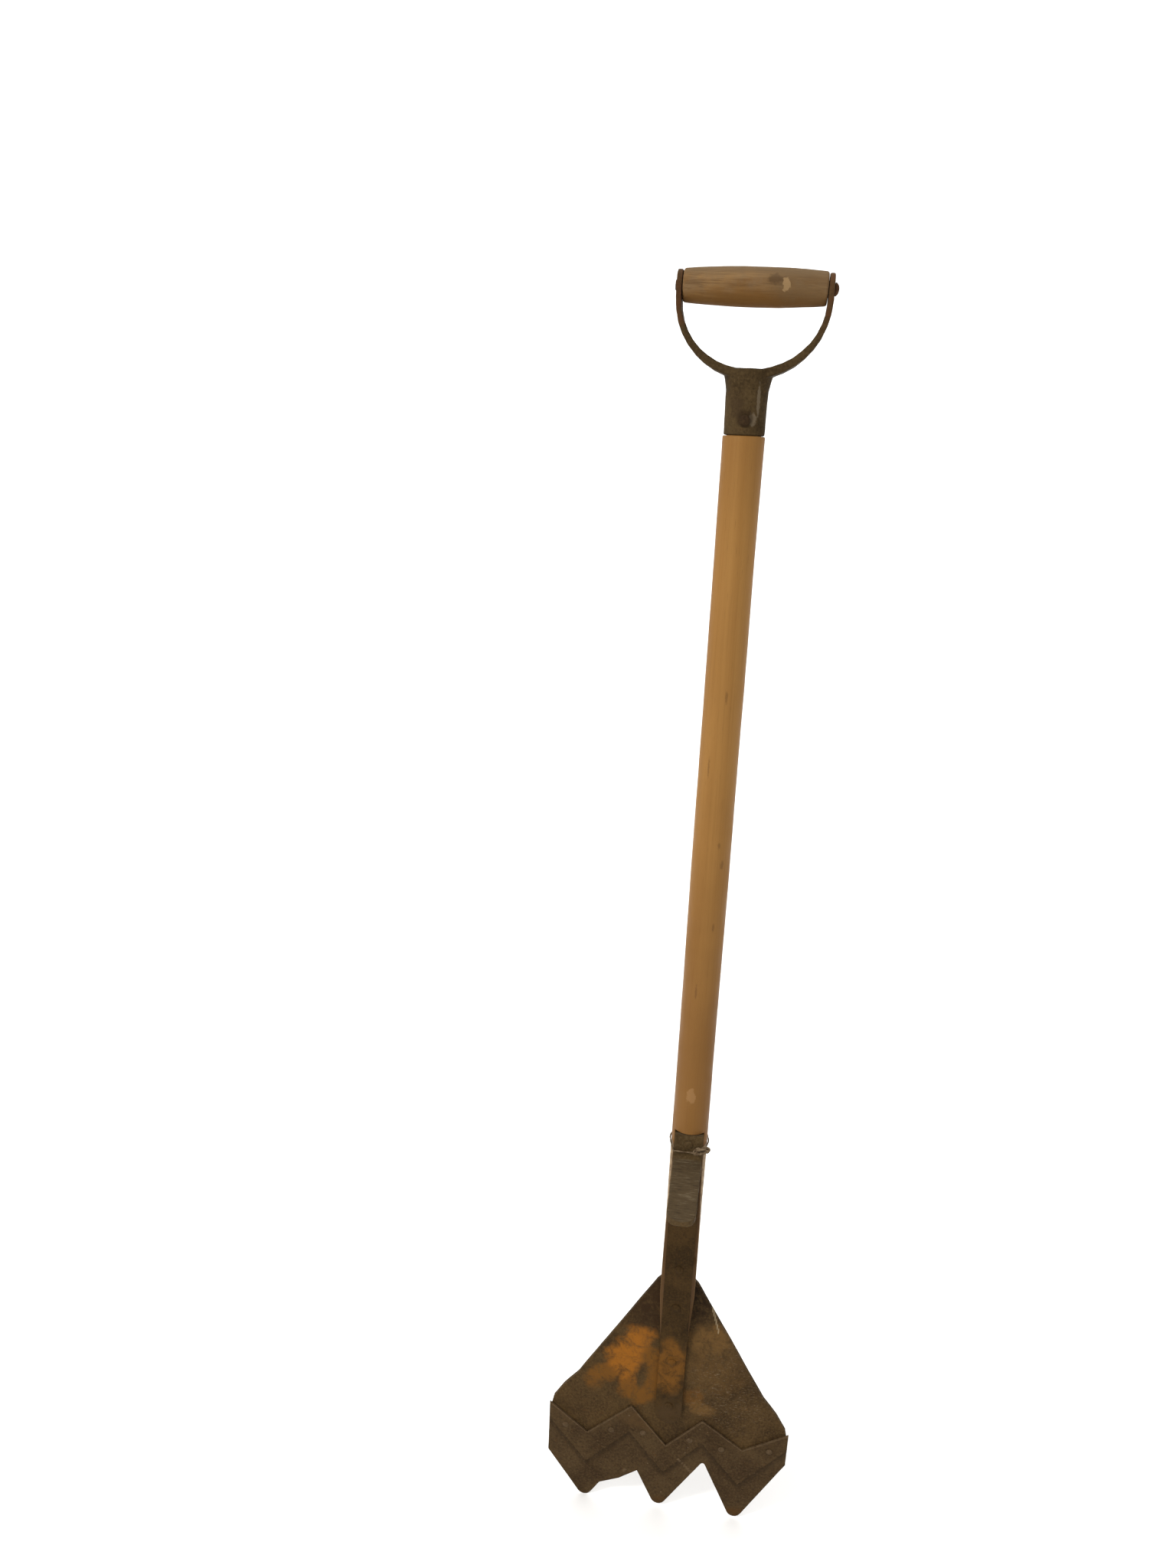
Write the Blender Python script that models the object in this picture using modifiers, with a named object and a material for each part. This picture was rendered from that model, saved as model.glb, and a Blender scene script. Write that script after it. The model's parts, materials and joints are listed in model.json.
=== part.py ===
"""Post hole digger: a D-handled hand tool with a foot step and one broad, three-toothed blade.

The tool stands on the tips of its teeth at z = 0, with the toothed face towards -Y.
Lengths are in metres. Shapes are built about the shaft's axis, which stands at y = SHAFT_Y.
"""
import math

import bmesh
import bpy
from mathutils import Matrix

# ---- clearances ----
GAP = 0.0003              # between pieces that touch
SPIN_GAP = 0.0004         # between the turning grip and its rod
END_GAP = 0.0005          # between the grip's ends and the arms

# ---- heights above the tooth tips ----
GRIP_Z = 1.235            # grip rod's axis
LIP_Z = 0.476             # top of the notch that lets the irons into the shaft
BEND_Z = LIP_Z - 0.029    # top of the tread where it leaves the shaft
STRAP_TOP_Z = LIP_Z + 0.059  # upper end of the rear strap
SHOULDER_Z = 0.294        # where the blade widens out of its strap
WEDGE_END_Z = 0.218       # lower end of the wood
TONGUE_RISE = 0.029       # from the tooth plate's middle valley up to the front strap's round end

# ---- shaft ----
SHAFT_R = 0.0175
SOCKET_WALL = 0.0033      # shaft's radius less that of its tenon inside the socket
NOTCH_DEPTH = 0.0078      # how deep the front irons are let in
WEDGE_TIP = 0.0012        # thickness of the wood at its lower end
REAR_CUT_DEPTH = 0.0048   # how deep the rear strap is let in

# ---- D yoke ----
ARM_INNER_X = 0.0576      # from the middle to the arms' inner faces
ARM_T = 0.0046            # thickness of the arms
ARM_BEND_Z = 0.010        # the arms start to curve this far below the rod
EYE_R = 0.0122            # rounded upper ends of the arms
ARM_HALF_DEPTH = 0.0098   # half the arms' size front to back, at mid height
YOKE_DROP = 0.0625        # rod's axis to the socket's rim
SOCKET_L = 0.051          # length of the socket
SOCKET_TOP_R = SHAFT_R - 0.0001
SOCKET_END_R = SHAFT_R - 0.0006
CROTCH_T = 0.0075         # thickness of the D where it meets the socket
CROTCH_HALF_DEPTH = SHAFT_R - 0.003  # half the D's size front to back where it meets the socket
RIM_LIFT = 0.0009         # how far the socket's rim stands above the D

# ---- grip and its rod ----
GRIP_MID_R = 0.0153
GRIP_END_R = 0.0130
ROD_R = 0.0035
ROD_HEAD_R = 0.0054
ROD_HEAD_T = 0.0034
PEEN_R = 0.0046
PEEN_T = 0.0013

# ---- blade ----
BLADE_HALF_W = 0.127
BODY_T = 0.0045
BODY_FRONT_Y = 0.005      # front face of the blade body, behind the shaft's axis
TOOTH_PLATE_T = 0.002
EDGE_T = 0.0009           # thickness of the cutting edge
BODY_LAP = 0.004          # how far the body stops above the line where the bevels start
TIP_R = 0.008             # rounding of the tooth tips
VALLEY_R = 0.0025
# The blade's outlines run from left to right as (share of BLADE_HALF_W, height).
# sharp corners of the cutting edge, before the tips and valleys are rounded
CUTTING_EDGE = [(-1.0, 0.056), (-0.669, -0.004), (-0.299, 0.071), (-0.043, -0.004),
                (0.323, 0.071), (0.610, -0.005), (1.0, 0.083)]
# the first valley was never cut to full depth: its floor
SHALLOW_FLOOR = [(-0.543, 0.0215), (-0.378, 0.031), (-0.228, 0.045)]
# where the cutting bevels start, and the tooth plate's upper edge
BEVEL_LINE = [(-1.0, 0.098), (-0.669, 0.047), (-0.315, 0.095), (-0.008, 0.048),
              (0.299, 0.094), (0.622, 0.047), (1.0, 0.101)]
PLATE_TOP = [(-1.0, 0.120), (-0.669, 0.087), (-0.307, 0.130), (0.0, 0.085),
             (0.291, 0.124), (0.638, 0.094), (1.0, 0.122)]
# the blade's right side from below the shoulder down to its corner
BLADE_SIDE = [(0.169, SHOULDER_Z - 0.005), (0.772, 0.159), (0.890, 0.1405), (0.972, 0.123)]
CORNER_Z = 0.106          # where the side edges become upright

# ---- front strap, foot step ----
STRAP_HALF_W = 0.014
STRAP_T = 0.003
LEG_T = 0.004
STEP_REACH = 0.081        # from the shaft's front to the tread's end
STEP_DROP = 0.010         # fall of the tread over its reach
TREAD_T = 0.0062
TREAD_END_SHARE = 0.97    # half width of the tread's end as a share of its width at the leg
TREAD_NOSE_R = 0.0128     # rounding of the tread's outer corners
STEP_BEND_R = 0.006       # inside radius where the leg bends into the tread

# ---- rivets ----
RIVET_R = 0.003
RIVET_HEAD_R = 0.0046
RIVET_HEAD_T = 0.0012
RIVET_INSET = 0.0115      # from the socket's lower end, or the notch's top, to the rivet
TOOTH_RIVET_SHARES = [-0.858, -0.465, -0.197, 0.197, 0.465, 0.858]  # of BLADE_HALF_W
TOOTH_RIVET_R = 0.0022
TOOTH_RIVET_HEAD_R = 0.0034
TOOTH_RIVET_HEAD_T = 0.0007

# ---- twine left tied round the shaft ----
TWINE_R = 0.0006
TWINE_DROP = 0.0195       # from the notch's top to the twine in front
TWINE_RISE = 0.0045       # the twine is higher at the sides by this much
KNOT_HALF = (0.0085, 0.0030, 0.0042)

# ---- worked out from the sizes above ----
TENON_R = SHAFT_R - SOCKET_WALL
SOCKET_DROP = YOKE_DROP + SOCKET_L
YOKE_RIVET_Z = GRIP_Z - SOCKET_DROP + RIVET_INSET
STEP_RIVET_Z = LIP_Z - RIVET_INSET
TONGUE_END_Z = PLATE_TOP[3][1] + TONGUE_RISE
STRAP_RIVETS_Z = [LIP_Z - 0.084, SHOULDER_Z + 0.019, SHOULDER_Z - 0.030]
TONGUE_RIVETS_Z = [WEDGE_END_Z - 0.026, TONGUE_END_Z + 0.022]
TWINE_Z = LIP_Z - TWINE_DROP
TREAD_END_HALF_W = TREAD_END_SHARE * STRAP_HALF_W
ARM_OUTER_X = ARM_INNER_X + ARM_T
GRIP_HALF_L = ARM_INNER_X - END_GAP
WOOD_FRONT_Y = -(SHAFT_R - NOTCH_DEPTH)
WOOD_END_FRONT_Y = BODY_FRONT_Y - GAP - WEDGE_TIP
STRAP_BACK_Y = WOOD_FRONT_Y - GAP
LEG_BACK_Y = STRAP_BACK_Y - STRAP_T - GAP
LEG_FRONT_Y = LEG_BACK_Y - LEG_T
TONGUE_BACK_Y = BODY_FRONT_Y - GAP
PLATE_BACK_Y = BODY_FRONT_Y - GAP
REAR_FLAT_Y = SHAFT_R - REAR_CUT_DEPTH
REAR_STRAP_Y = REAR_FLAT_Y + GAP
REAR_BACK_Y = REAR_STRAP_Y + BODY_T
REAR_JOG_LOW_Z = SHOULDER_Z + 0.006
REAR_JOG_TOP_Z = REAR_JOG_LOW_Z + 0.120
STRAP_BEND_TOP_Z = BEND_Z - 0.012
STRAP_FLAT_Z = WEDGE_END_Z - 0.018
STEP_FRONT_Y = -(SHAFT_R + STEP_REACH)
SHAFT_Y = -(STEP_FRONT_Y + max(REAR_BACK_Y, SHAFT_R) + RIVET_HEAD_T + GAP) / 2
CORNER_STEPS = 6


# ================= helpers =================
def clear_scene():
    for old in list(bpy.data.objects):
        bpy.data.objects.remove(old)


def make_material(name, colour, roughness, metallic):
    material = bpy.data.materials.new(name)
    material.use_nodes = True
    shader = material.node_tree.nodes["Principled BSDF"]
    shader.inputs["Base Color"].default_value = (*colour, 1.0)
    shader.inputs["Roughness"].default_value = roughness
    shader.inputs["Metallic"].default_value = metallic
    material.diffuse_color = (*colour, 1.0)
    return material


def move_to(obj, collection):
    for home in list(obj.users_collection):
        home.objects.unlink(obj)
    collection.objects.link(obj)


def add_part(obj, name, material, parent, smooth_angle=35):
    """Name a finished mesh object, give it its own material and hang it on its parent."""
    obj.name = name
    obj.data.name = name
    obj.data.materials.clear()
    obj.data.materials.append(make_material(name, *material))
    obj.data.shade_smooth()
    obj.data.set_sharp_from_angle(angle=math.radians(smooth_angle))
    move_to(obj, PARTS)
    obj.parent = parent
    return obj


def mesh_object(name, bm):
    mesh = bpy.data.meshes.new(name)
    bm.to_mesh(mesh)
    bm.free()
    obj = bpy.data.objects.new(name, mesh)
    bpy.context.scene.collection.objects.link(obj)
    return obj


def prism(name, outline, axis, low, high):
    """A flat outline, filled and pushed from low to high along X, Y or Z."""
    sheet = bpy.data.curves.new(name, "CURVE")
    sheet.dimensions = "2D"
    sheet.fill_mode = "BOTH"
    sheet.extrude = (high - low) / 2
    spline = sheet.splines.new("POLY")
    spline.points.add(len(outline) - 1)
    for point, (across, up) in zip(spline.points, outline):
        point.co = (across, up, 0, 1)
    spline.use_cyclic_u = True
    obj = solid_of(sheet, name)
    obj.data.transform(Matrix.Translation((0, 0, (low + high) / 2)))
    if axis != "Z":
        obj.data.transform(SHEET_TO_X if axis == "X" else SHEET_TO_Y)
        if axis == "Y":
            obj.data.flip_normals()
    return obj


def solid_of(curve, name):
    """The closed mesh of a curve with thickness, as an object of its own."""
    holder = bpy.data.objects.new(name, curve)
    bpy.context.scene.collection.objects.link(holder)
    graph = bpy.context.evaluated_depsgraph_get()
    mesh = bpy.data.meshes.new_from_object(holder.evaluated_get(graph))
    bpy.data.objects.remove(holder)
    bm = bmesh.new()
    bm.from_mesh(mesh)
    bmesh.ops.remove_doubles(bm, verts=bm.verts, dist=1e-6)
    bmesh.ops.dissolve_limit(bm, angle_limit=0.0005, verts=bm.verts, edges=bm.edges)
    bmesh.ops.recalc_face_normals(bm, faces=bm.faces)
    return mesh_object(name, bm)


def turned(name, profile, axis="Z", steps=32):
    """A solid of revolution. The profile is (radius, height) from the top to the bottom."""
    bm = bmesh.new()
    ring = [bm.verts.new((radius, 0, height)) for radius, height in profile]
    for upper, lower in zip(ring, ring[1:]):
        bm.edges.new((upper, lower))
    obj = mesh_object(name, bm)
    screw = obj.modifiers.new("turn", "SCREW")
    screw.steps = steps
    screw.render_steps = steps
    screw.use_merge_vertices = True
    screw.merge_threshold = 0.00001
    bake(obj)
    if axis == "X":
        obj.data.transform(ROLL_Z_TO_X)
    elif axis == "Y":
        obj.data.transform(ROLL_Z_TO_Y)
    return obj


def bake(obj):
    """Turn the object's modifiers into its mesh."""
    graph = bpy.context.evaluated_depsgraph_get()
    mesh = bpy.data.meshes.new_from_object(obj.evaluated_get(graph))
    obj.modifiers.clear()
    obj.data = mesh


def combine(obj, cutter, operation):
    """A Boolean that stays on the object as a modifier, with its cutter kept as a wire guide."""
    change = obj.modifiers.new(operation.lower(), "BOOLEAN")
    change.operation = operation
    change.object = cutter
    cutter.name = "guide_" + cutter.name
    cutter.display_type = "WIRE"
    cutter.hide_render = True
    move_to(cutter, CUTTERS)
    cutter.parent = obj.parent
    return obj


def arc(centre, radius, start_deg, end_deg, steps):
    points = []
    for step in range(steps + 1):
        angle = math.radians(start_deg + (end_deg - start_deg) * step / steps)
        points.append((centre[0] + radius * math.cos(angle), centre[1] + radius * math.sin(angle)))
    return points


def round_corner(before, corner, after, radius, steps):
    """The points of an arc of the given radius that replaces one corner of a polyline."""
    in_x, in_z = corner[0] - before[0], corner[1] - before[1]
    out_x, out_z = after[0] - corner[0], after[1] - corner[1]
    in_len, out_len = math.hypot(in_x, in_z), math.hypot(out_x, out_z)
    in_x, in_z, out_x, out_z = in_x / in_len, in_z / in_len, out_x / out_len, out_z / out_len
    turn = math.atan2(in_x * out_z - in_z * out_x, in_x * out_x + in_z * out_z)
    setback = min(radius * math.tan(abs(turn) / 2), 0.45 * in_len, 0.45 * out_len)
    radius = setback / math.tan(abs(turn) / 2)
    side = math.copysign(1.0, turn)
    start = (corner[0] - in_x * setback, corner[1] - in_z * setback)
    centre = (start[0] - in_z * side * radius, start[1] + in_x * side * radius)
    first = math.degrees(math.atan2(start[1] - centre[1], start[0] - centre[0]))
    return arc(centre, radius, first, first + math.degrees(turn), steps)


def widened(line):
    """An outline of the blade with its shares turned into metres."""
    return [(share * BLADE_HALF_W, height) for share, height in line]


def height_at(line, x):
    """The height of a polyline, given left to right as (x, z), at x."""
    for (x0, z0), (x1, z1) in zip(line, line[1:]):
        if x <= x1:
            return z0 + (z1 - z0) * (x - x0) / (x1 - x0)
    return line[-1][1]


def bend(obj, path):
    """Bend a flat upright plate: path gives (height, y shift) from the bottom to the top."""
    bm = bmesh.new()
    bm.from_mesh(obj.data)
    for height, _ in path:
        geometry = bm.verts[:] + bm.edges[:] + bm.faces[:]
        bmesh.ops.bisect_plane(bm, geom=geometry, dist=1e-7, plane_co=(0, 0, height), plane_no=(0, 0, 1))
    for vert in bm.verts:
        height = min(max(vert.co.z, path[0][0]), path[-1][0])
        vert.co.y += height_at(path, height)
    bm.to_mesh(obj.data)
    bm.free()
    return obj


def rivet(name, front_y, back_y, x, z, sizes, material, parent, flush=False):
    """A rivet along Y with a low domed head in front and, unless it is filed flush, one behind."""
    shank_r, head_r, head_t = sizes
    front, back = front_y - GAP, back_y + GAP
    dome = [(head_r * math.cos(a), head_t * math.sin(a)) for a in (1.2, 0.75, 0.3)]
    if flush:
        profile = [(0, back_y), (shank_r, back_y)]
    else:
        profile = [(0, back + head_t)] + [(r, back + t) for r, t in dome] + [(head_r, back), (shank_r, back)]
    profile += [(shank_r, front), (head_r, front)]
    profile += [(r, front - t) for r, t in reversed(dome)] + [(0, front - head_t)]
    obj = turned(name, profile, "Y", 20)
    obj.location = (x, 0, z)
    return add_part(obj, name, material, parent)


def rivet_hole(shank_r, x, z, name):
    """A cutter along Y, a gap wider than the rivet's shank."""
    reach = 2 * (SHAFT_R + STEP_REACH)
    obj = turned(name, [(0, reach), (shank_r + GAP, reach), (shank_r + GAP, -reach), (0, -reach)], "Y", 20)
    obj.location = (x, 0, z)
    return obj


# ================= outlines =================
def cutting_line():
    """The cutting edge from left to right, its tips and valleys rounded, standing on z = 0."""
    sharp, floor = widened(CUTTING_EDGE), widened(SHALLOW_FLOOR)
    line = [sharp[0]]
    for index in range(1, len(sharp) - 1):
        before, corner, after = sharp[index - 1:index + 2]
        radius = TIP_R if corner[1] < before[1] else VALLEY_R
        line += round_corner(before, corner, after, radius, CORNER_STEPS)
    line.append(sharp[-1])
    start, end = floor[0][0], floor[-1][0]
    cut = [point for point in line if not start < point[0] < end] + floor
    cut = sorted({round(x, 6): (x, z) for x, z in cut}.values())
    lowest = min(z for _, z in cut)
    return [(x, z - lowest) for x, z in cut]


def blade_outline():
    """The blade body with its rear strap, flat, anticlockwise from the lower left corner."""
    lower = [(x, z + BODY_LAP) for x, z in widened(BEVEL_LINE)]
    side = [(BLADE_HALF_W, CORNER_Z)] + widened(BLADE_SIDE)[::-1] + [(STRAP_HALF_W + 0.003, SHOULDER_Z)]
    side.append((STRAP_HALF_W, REAR_JOG_LOW_Z))
    top = arc((0, STRAP_TOP_Z - STRAP_HALF_W), STRAP_HALF_W, 0, 180, 2 * CORNER_STEPS)
    return lower + side + top + [(-x, z) for x, z in reversed(side)]


def wood_front():
    """The plane the irons lie on down the front of the shaft, as (z, y)."""
    return [(WEDGE_END_Z, WOOD_END_FRONT_Y), (STRAP_BEND_TOP_Z, WOOD_FRONT_Y), (LIP_Z, WOOD_FRONT_Y)]


def rear_path(offset):
    """The line of the blade body's front face and its rear strap, as (z, y)."""
    return [(0.0, BODY_FRONT_Y + offset), (REAR_JOG_LOW_Z, BODY_FRONT_Y + offset),
            (REAR_JOG_TOP_Z, REAR_STRAP_Y + offset), (STRAP_TOP_Z + 0.001, REAR_STRAP_Y + offset)]


# ================= the wooden pieces =================
def build_shaft(frame):
    shoulder_z = GRIP_Z - SOCKET_DROP - GAP
    tenon_top = GRIP_Z - YOKE_DROP - 0.0015
    profile = [(0, tenon_top), (TENON_R, tenon_top), (TENON_R, shoulder_z), (SHAFT_R - 0.0008, shoulder_z),
               (SHAFT_R, shoulder_z - 0.0008), (SHAFT_R, WEDGE_END_Z), (0, WEDGE_END_Z)]
    shaft = turned("shaft", profile, steps=48)
    far = 3 * SHAFT_R
    front = [(y, z) for z, y in wood_front()]
    front = [(-far, WEDGE_END_Z - far)] + [(front[0][0], WEDGE_END_Z - far)] + front + [(-far, LIP_Z)]
    rear = [(y, z) for z, y in rear_path(-GAP) if z > WEDGE_END_Z]
    foot = BODY_FRONT_Y - GAP
    rear = [(foot, WEDGE_END_Z - far)] + rear
    rear += [(SHAFT_R + GAP, STRAP_TOP_Z + 0.001 + REAR_CUT_DEPTH), (far, STRAP_TOP_Z + far)]
    rear += [(far, WEDGE_END_Z - far)]
    add_part(shaft, "shaft", ((0.47, 0.25, 0.085), 0.5, 0.0), frame)
    combine(shaft, prism("front_notch", front, "X", -far, far), "DIFFERENCE")
    combine(shaft, prism("rear_seat", rear, "X", -far, far), "DIFFERENCE")
    for side in (-1, 1):
        trim = [(side * STRAP_HALF_W, WEDGE_END_Z - 0.001), (side * (SHAFT_R + 0.001), SHOULDER_Z),
                (side * far, SHOULDER_Z), (side * far, WEDGE_END_Z - 0.001)]
        combine(shaft, prism("side_trim", trim, "Y", -far, far), "DIFFERENCE")
    holes = [YOKE_RIVET_Z, STEP_RIVET_Z] + STRAP_RIVETS_Z
    for z in holes:
        combine(shaft, rivet_hole(RIVET_R, 0, z, "shaft_hole"), "DIFFERENCE")


def build_grip(pivot):
    """A barrel turned about the rod, bored through a running clearance larger than the rod."""
    bore = ROD_R + SPIN_GAP
    count = 12
    outer = []
    for step in range(count + 1):
        x = GRIP_HALF_L * (1 - 2 * step / count)
        share = abs(x) / GRIP_HALF_L
        outer.append((GRIP_END_R + (GRIP_MID_R - GRIP_END_R) * (1 - share ** 2.2), x))
    round_off = 0.0012
    outer[0] = (outer[0][0], GRIP_HALF_L - round_off)
    outer[-1] = (outer[-1][0], -GRIP_HALF_L + round_off)
    profile = [(bore, GRIP_HALF_L), (GRIP_END_R - round_off, GRIP_HALF_L)] + outer
    profile += [(GRIP_END_R - round_off, -GRIP_HALF_L), (bore, -GRIP_HALF_L), (bore, GRIP_HALF_L)]
    grip = turned("grip", profile, "X", 40)
    add_part(grip, "grip", ((0.36, 0.23, 0.12), 0.62, 0.0), pivot)


# ================= the irons at the top =================
def build_yoke(frame):
    a_in, a_out = ARM_INNER_X, ARM_OUTER_X
    bend_z = GRIP_Z - ARM_BEND_Z
    b_in = YOKE_DROP - ARM_BEND_Z
    b_out = b_in + CROTCH_T
    steps = 20
    top = GRIP_Z + EYE_R
    outer = [(a_out, top)]
    inner = [(a_in, top)]
    for step in range(steps + 1):
        angle = math.pi * step / steps
        outer.append((a_out * math.cos(angle), bend_z - b_out * math.sin(angle)))
        inner.append((a_in * math.cos(angle), bend_z - b_in * math.sin(angle)))
    outer.append((-a_out, top))
    inner.append((-a_in, top))
    band = prism("d_yoke", outer + inner[::-1], "Y", -2 * EYE_R, 2 * EYE_R)
    add_part(band, "d_yoke", ((0.085, 0.06, 0.042), 0.6, 0.55), frame, 40)

    low = GRIP_Z - YOKE_DROP - CROTCH_T - 0.01
    depth = ARM_HALF_DEPTH
    side = arc((0, GRIP_Z), EYE_R, 0, 180, 14)
    side += [(-EYE_R, GRIP_Z - 0.004), (-depth, GRIP_Z - 0.026), (-depth, GRIP_Z - YOKE_DROP + 0.012)]
    wide = CROTCH_HALF_DEPTH
    side += [(-wide, GRIP_Z - YOKE_DROP - 0.004), (-wide, low), (wide, low)]
    side += [(wide, GRIP_Z - YOKE_DROP - 0.004), (depth, GRIP_Z - YOKE_DROP + 0.012)]
    side += [(depth, GRIP_Z - 0.026), (EYE_R, GRIP_Z - 0.004)]
    far = 2 * ARM_OUTER_X
    combine(band, prism("yoke_side", side, "X", -far, far), "INTERSECT")

    rim_z = GRIP_Z - YOKE_DROP + RIM_LIFT
    low_z = GRIP_Z - SOCKET_DROP
    flare = [(0, rim_z), (SOCKET_TOP_R - 0.0006, rim_z), (SOCKET_TOP_R + 0.0026, rim_z - 0.0012)]
    flare += [(SOCKET_TOP_R + 0.0026, rim_z - 0.005), (SOCKET_TOP_R + 0.0012, rim_z - 0.011)]
    flare += [(SOCKET_TOP_R, rim_z - 0.017), (SOCKET_END_R, low_z + 0.0008), (SOCKET_END_R - 0.0008, low_z)]
    flare += [(0, low_z)]
    combine(band, turned("socket", flare, steps=40), "UNION")
    bore_r = TENON_R + GAP
    far = SOCKET_DROP
    bore = [(0, rim_z + far), (bore_r, rim_z + far), (bore_r, low_z - far), (0, low_z - far)]
    combine(band, turned("socket_bore", bore, steps=40), "DIFFERENCE")
    eye = [(0, far), (ROD_R + GAP, far), (ROD_R + GAP, -far), (0, -far)]
    eyes = turned("rod_eyes", eye, "X", 20)
    eyes.location = (0, 0, GRIP_Z)
    combine(band, eyes, "DIFFERENCE")
    combine(band, rivet_hole(RIVET_R, 0, YOKE_RIVET_Z, "yoke_rivet_hole"), "DIFFERENCE")


def build_rod(frame):
    """The rod the grip turns on: a round head at the right, peened over at the left."""
    right = ARM_OUTER_X + GAP
    left = -right
    dome = [(ROD_HEAD_R * math.cos(a), ROD_HEAD_T * math.sin(a)) for a in (1.3, 1.0, 0.7, 0.4, 0.12)]
    profile = [(0, right + ROD_HEAD_T)] + [(r, right + t) for r, t in dome] + [(ROD_HEAD_R, right)]
    profile += [(ROD_R, right), (ROD_R, left), (PEEN_R, left), (PEEN_R * 0.8, left - PEEN_T * 0.8)]
    profile += [(0, left - PEEN_T)]
    rod = turned("grip_rod", profile, "X", 24)
    rod.location = (0, 0, GRIP_Z)
    add_part(rod, "grip_rod", ((0.09, 0.055, 0.038), 0.55, 0.7), frame)


# ================= the irons at the bottom =================
def build_blade_body(frame):
    body = prism("blade_body", blade_outline(), "Y", 0.0, BODY_T)
    bend(body, rear_path(0.0))
    add_part(body, "blade_body", ((0.105, 0.08, 0.055), 0.58, 0.6), frame)
    for z in [STEP_RIVET_Z] + STRAP_RIVETS_Z + TONGUE_RIVETS_Z:
        combine(body, rivet_hole(RIVET_R, 0, z, "body_hole"), "DIFFERENCE")
    for x, z in tooth_rivet_places():
        combine(body, rivet_hole(TOOTH_RIVET_R, x, z, "body_hole"), "DIFFERENCE")


def tooth_rivet_places():
    """The tooth plate's rivets as (x, z), each half way between its bevels and its upper edge."""
    places = []
    for share in TOOTH_RIVET_SHARES:
        x = share * BLADE_HALF_W
        places.append((x, (height_at(widened(BEVEL_LINE), x) + height_at(widened(PLATE_TOP), x)) / 2))
    return places


def build_tooth_plate(frame):
    """A strip of columns from edge to edge: full thickness above the bevel line, thin at the edge."""
    edge = cutting_line()
    bevels, upper = widened(BEVEL_LINE), widened(PLATE_TOP)
    lift = edge[0][1] - CUTTING_EDGE[0][1]
    stations = {round(x, 6) for x, _ in edge + bevels + upper}
    back = PLATE_BACK_Y
    front = back - TOOTH_PLATE_T
    bm = bmesh.new()
    rings = []
    for x in sorted(stations):
        low = height_at(edge, x)
        bevel = max(height_at(bevels, x) + lift, low + 2 * EDGE_T)
        top = height_at(upper, x) + lift
        column = [(back, low), (back, top), (front, top), (front, bevel), (back - EDGE_T, low)]
        rings.append([bm.verts.new((x, y, z)) for y, z in column])
    for left, right in zip(rings, rings[1:]):
        for index in range(len(left)):
            following = (index + 1) % len(left)
            bm.faces.new((left[index], left[following], right[following], right[index]))
    bm.faces.new(rings[0])
    bm.faces.new(rings[-1])
    bmesh.ops.recalc_face_normals(bm, faces=bm.faces)
    plate = mesh_object("tooth_plate", bm)
    add_part(plate, "tooth_plate", ((0.095, 0.07, 0.048), 0.55, 0.65), frame, 12)
    for x, z in tooth_rivet_places():
        combine(plate, rivet_hole(TOOTH_RIVET_R, x, z, "plate_hole"), "DIFFERENCE")


def build_front_strap(frame):
    outline = [(STRAP_HALF_W, LIP_Z - 2 * GAP), (-STRAP_HALF_W, LIP_Z - 2 * GAP)]
    outline += arc((0, TONGUE_END_Z + STRAP_HALF_W), STRAP_HALF_W, 180, 360, 12)
    strap = prism("front_strap", outline, "Y", -STRAP_T, 0.0)
    clear = STRAP_BACK_Y - WOOD_FRONT_Y
    path = [(0.0, TONGUE_BACK_Y), (STRAP_FLAT_Z, TONGUE_BACK_Y)]
    path += [(z, y + clear) for z, y in wood_front()]
    bend(strap, path)
    add_part(strap, "front_strap", ((0.075, 0.055, 0.038), 0.6, 0.55), frame)
    for z in [STEP_RIVET_Z] + STRAP_RIVETS_Z + TONGUE_RIVETS_Z:
        combine(strap, rivet_hole(RIVET_R, 0, z, "strap_hole"), "DIFFERENCE")


def build_foot_step(frame):
    """A bar bent forward: its leg is riveted in the notch and its tread narrows to a round nose."""
    slope = math.atan2(STEP_DROP, STEP_REACH)
    top_z = LIP_Z - 2 * GAP
    centre = (LEG_FRONT_Y - STEP_BEND_R, BEND_Z + STEP_BEND_R)
    inside = arc(centre, STEP_BEND_R, 0, -90 + math.degrees(slope), 5)
    end_top = BEND_Z - STEP_DROP
    side = [(LEG_BACK_Y, top_z), (LEG_FRONT_Y, top_z)] + inside
    side += [(STEP_FRONT_Y + 0.001, end_top), (STEP_FRONT_Y, end_top - 0.001)]
    side += [(STEP_FRONT_Y, end_top - TREAD_T + 0.002), (STEP_FRONT_Y + 0.002, end_top - TREAD_T)]
    side += arc((LEG_BACK_Y - LEG_T, BEND_Z - LEG_T), LEG_T, -90 + math.degrees(slope), 0, 5)
    step = prism("foot_step", side, "X", -2 * STRAP_HALF_W, 2 * STRAP_HALF_W)
    add_part(step, "foot_step", ((0.17, 0.135, 0.10), 0.6, 0.5), frame)
    nose_r = min(TREAD_NOSE_R, 0.95 * TREAD_END_HALF_W)
    nose = STEP_FRONT_Y + nose_r
    corner_x = TREAD_END_HALF_W - nose_r
    plan = arc((corner_x, nose), nose_r, 0, -90, 6) + arc((-corner_x, nose), nose_r, -90, -180, 6)
    plan += [(-STRAP_HALF_W, LEG_FRONT_Y - 0.004), (-STRAP_HALF_W, 0), (STRAP_HALF_W, 0)]
    plan += [(STRAP_HALF_W, LEG_FRONT_Y - 0.004)]
    combine(step, prism("step_plan", plan, "Z", 0.5 * BEND_Z, 1.5 * BEND_Z), "INTERSECT")
    combine(step, rivet_hole(RIVET_R, 0, STEP_RIVET_Z, "step_hole"), "DIFFERENCE")


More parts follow.
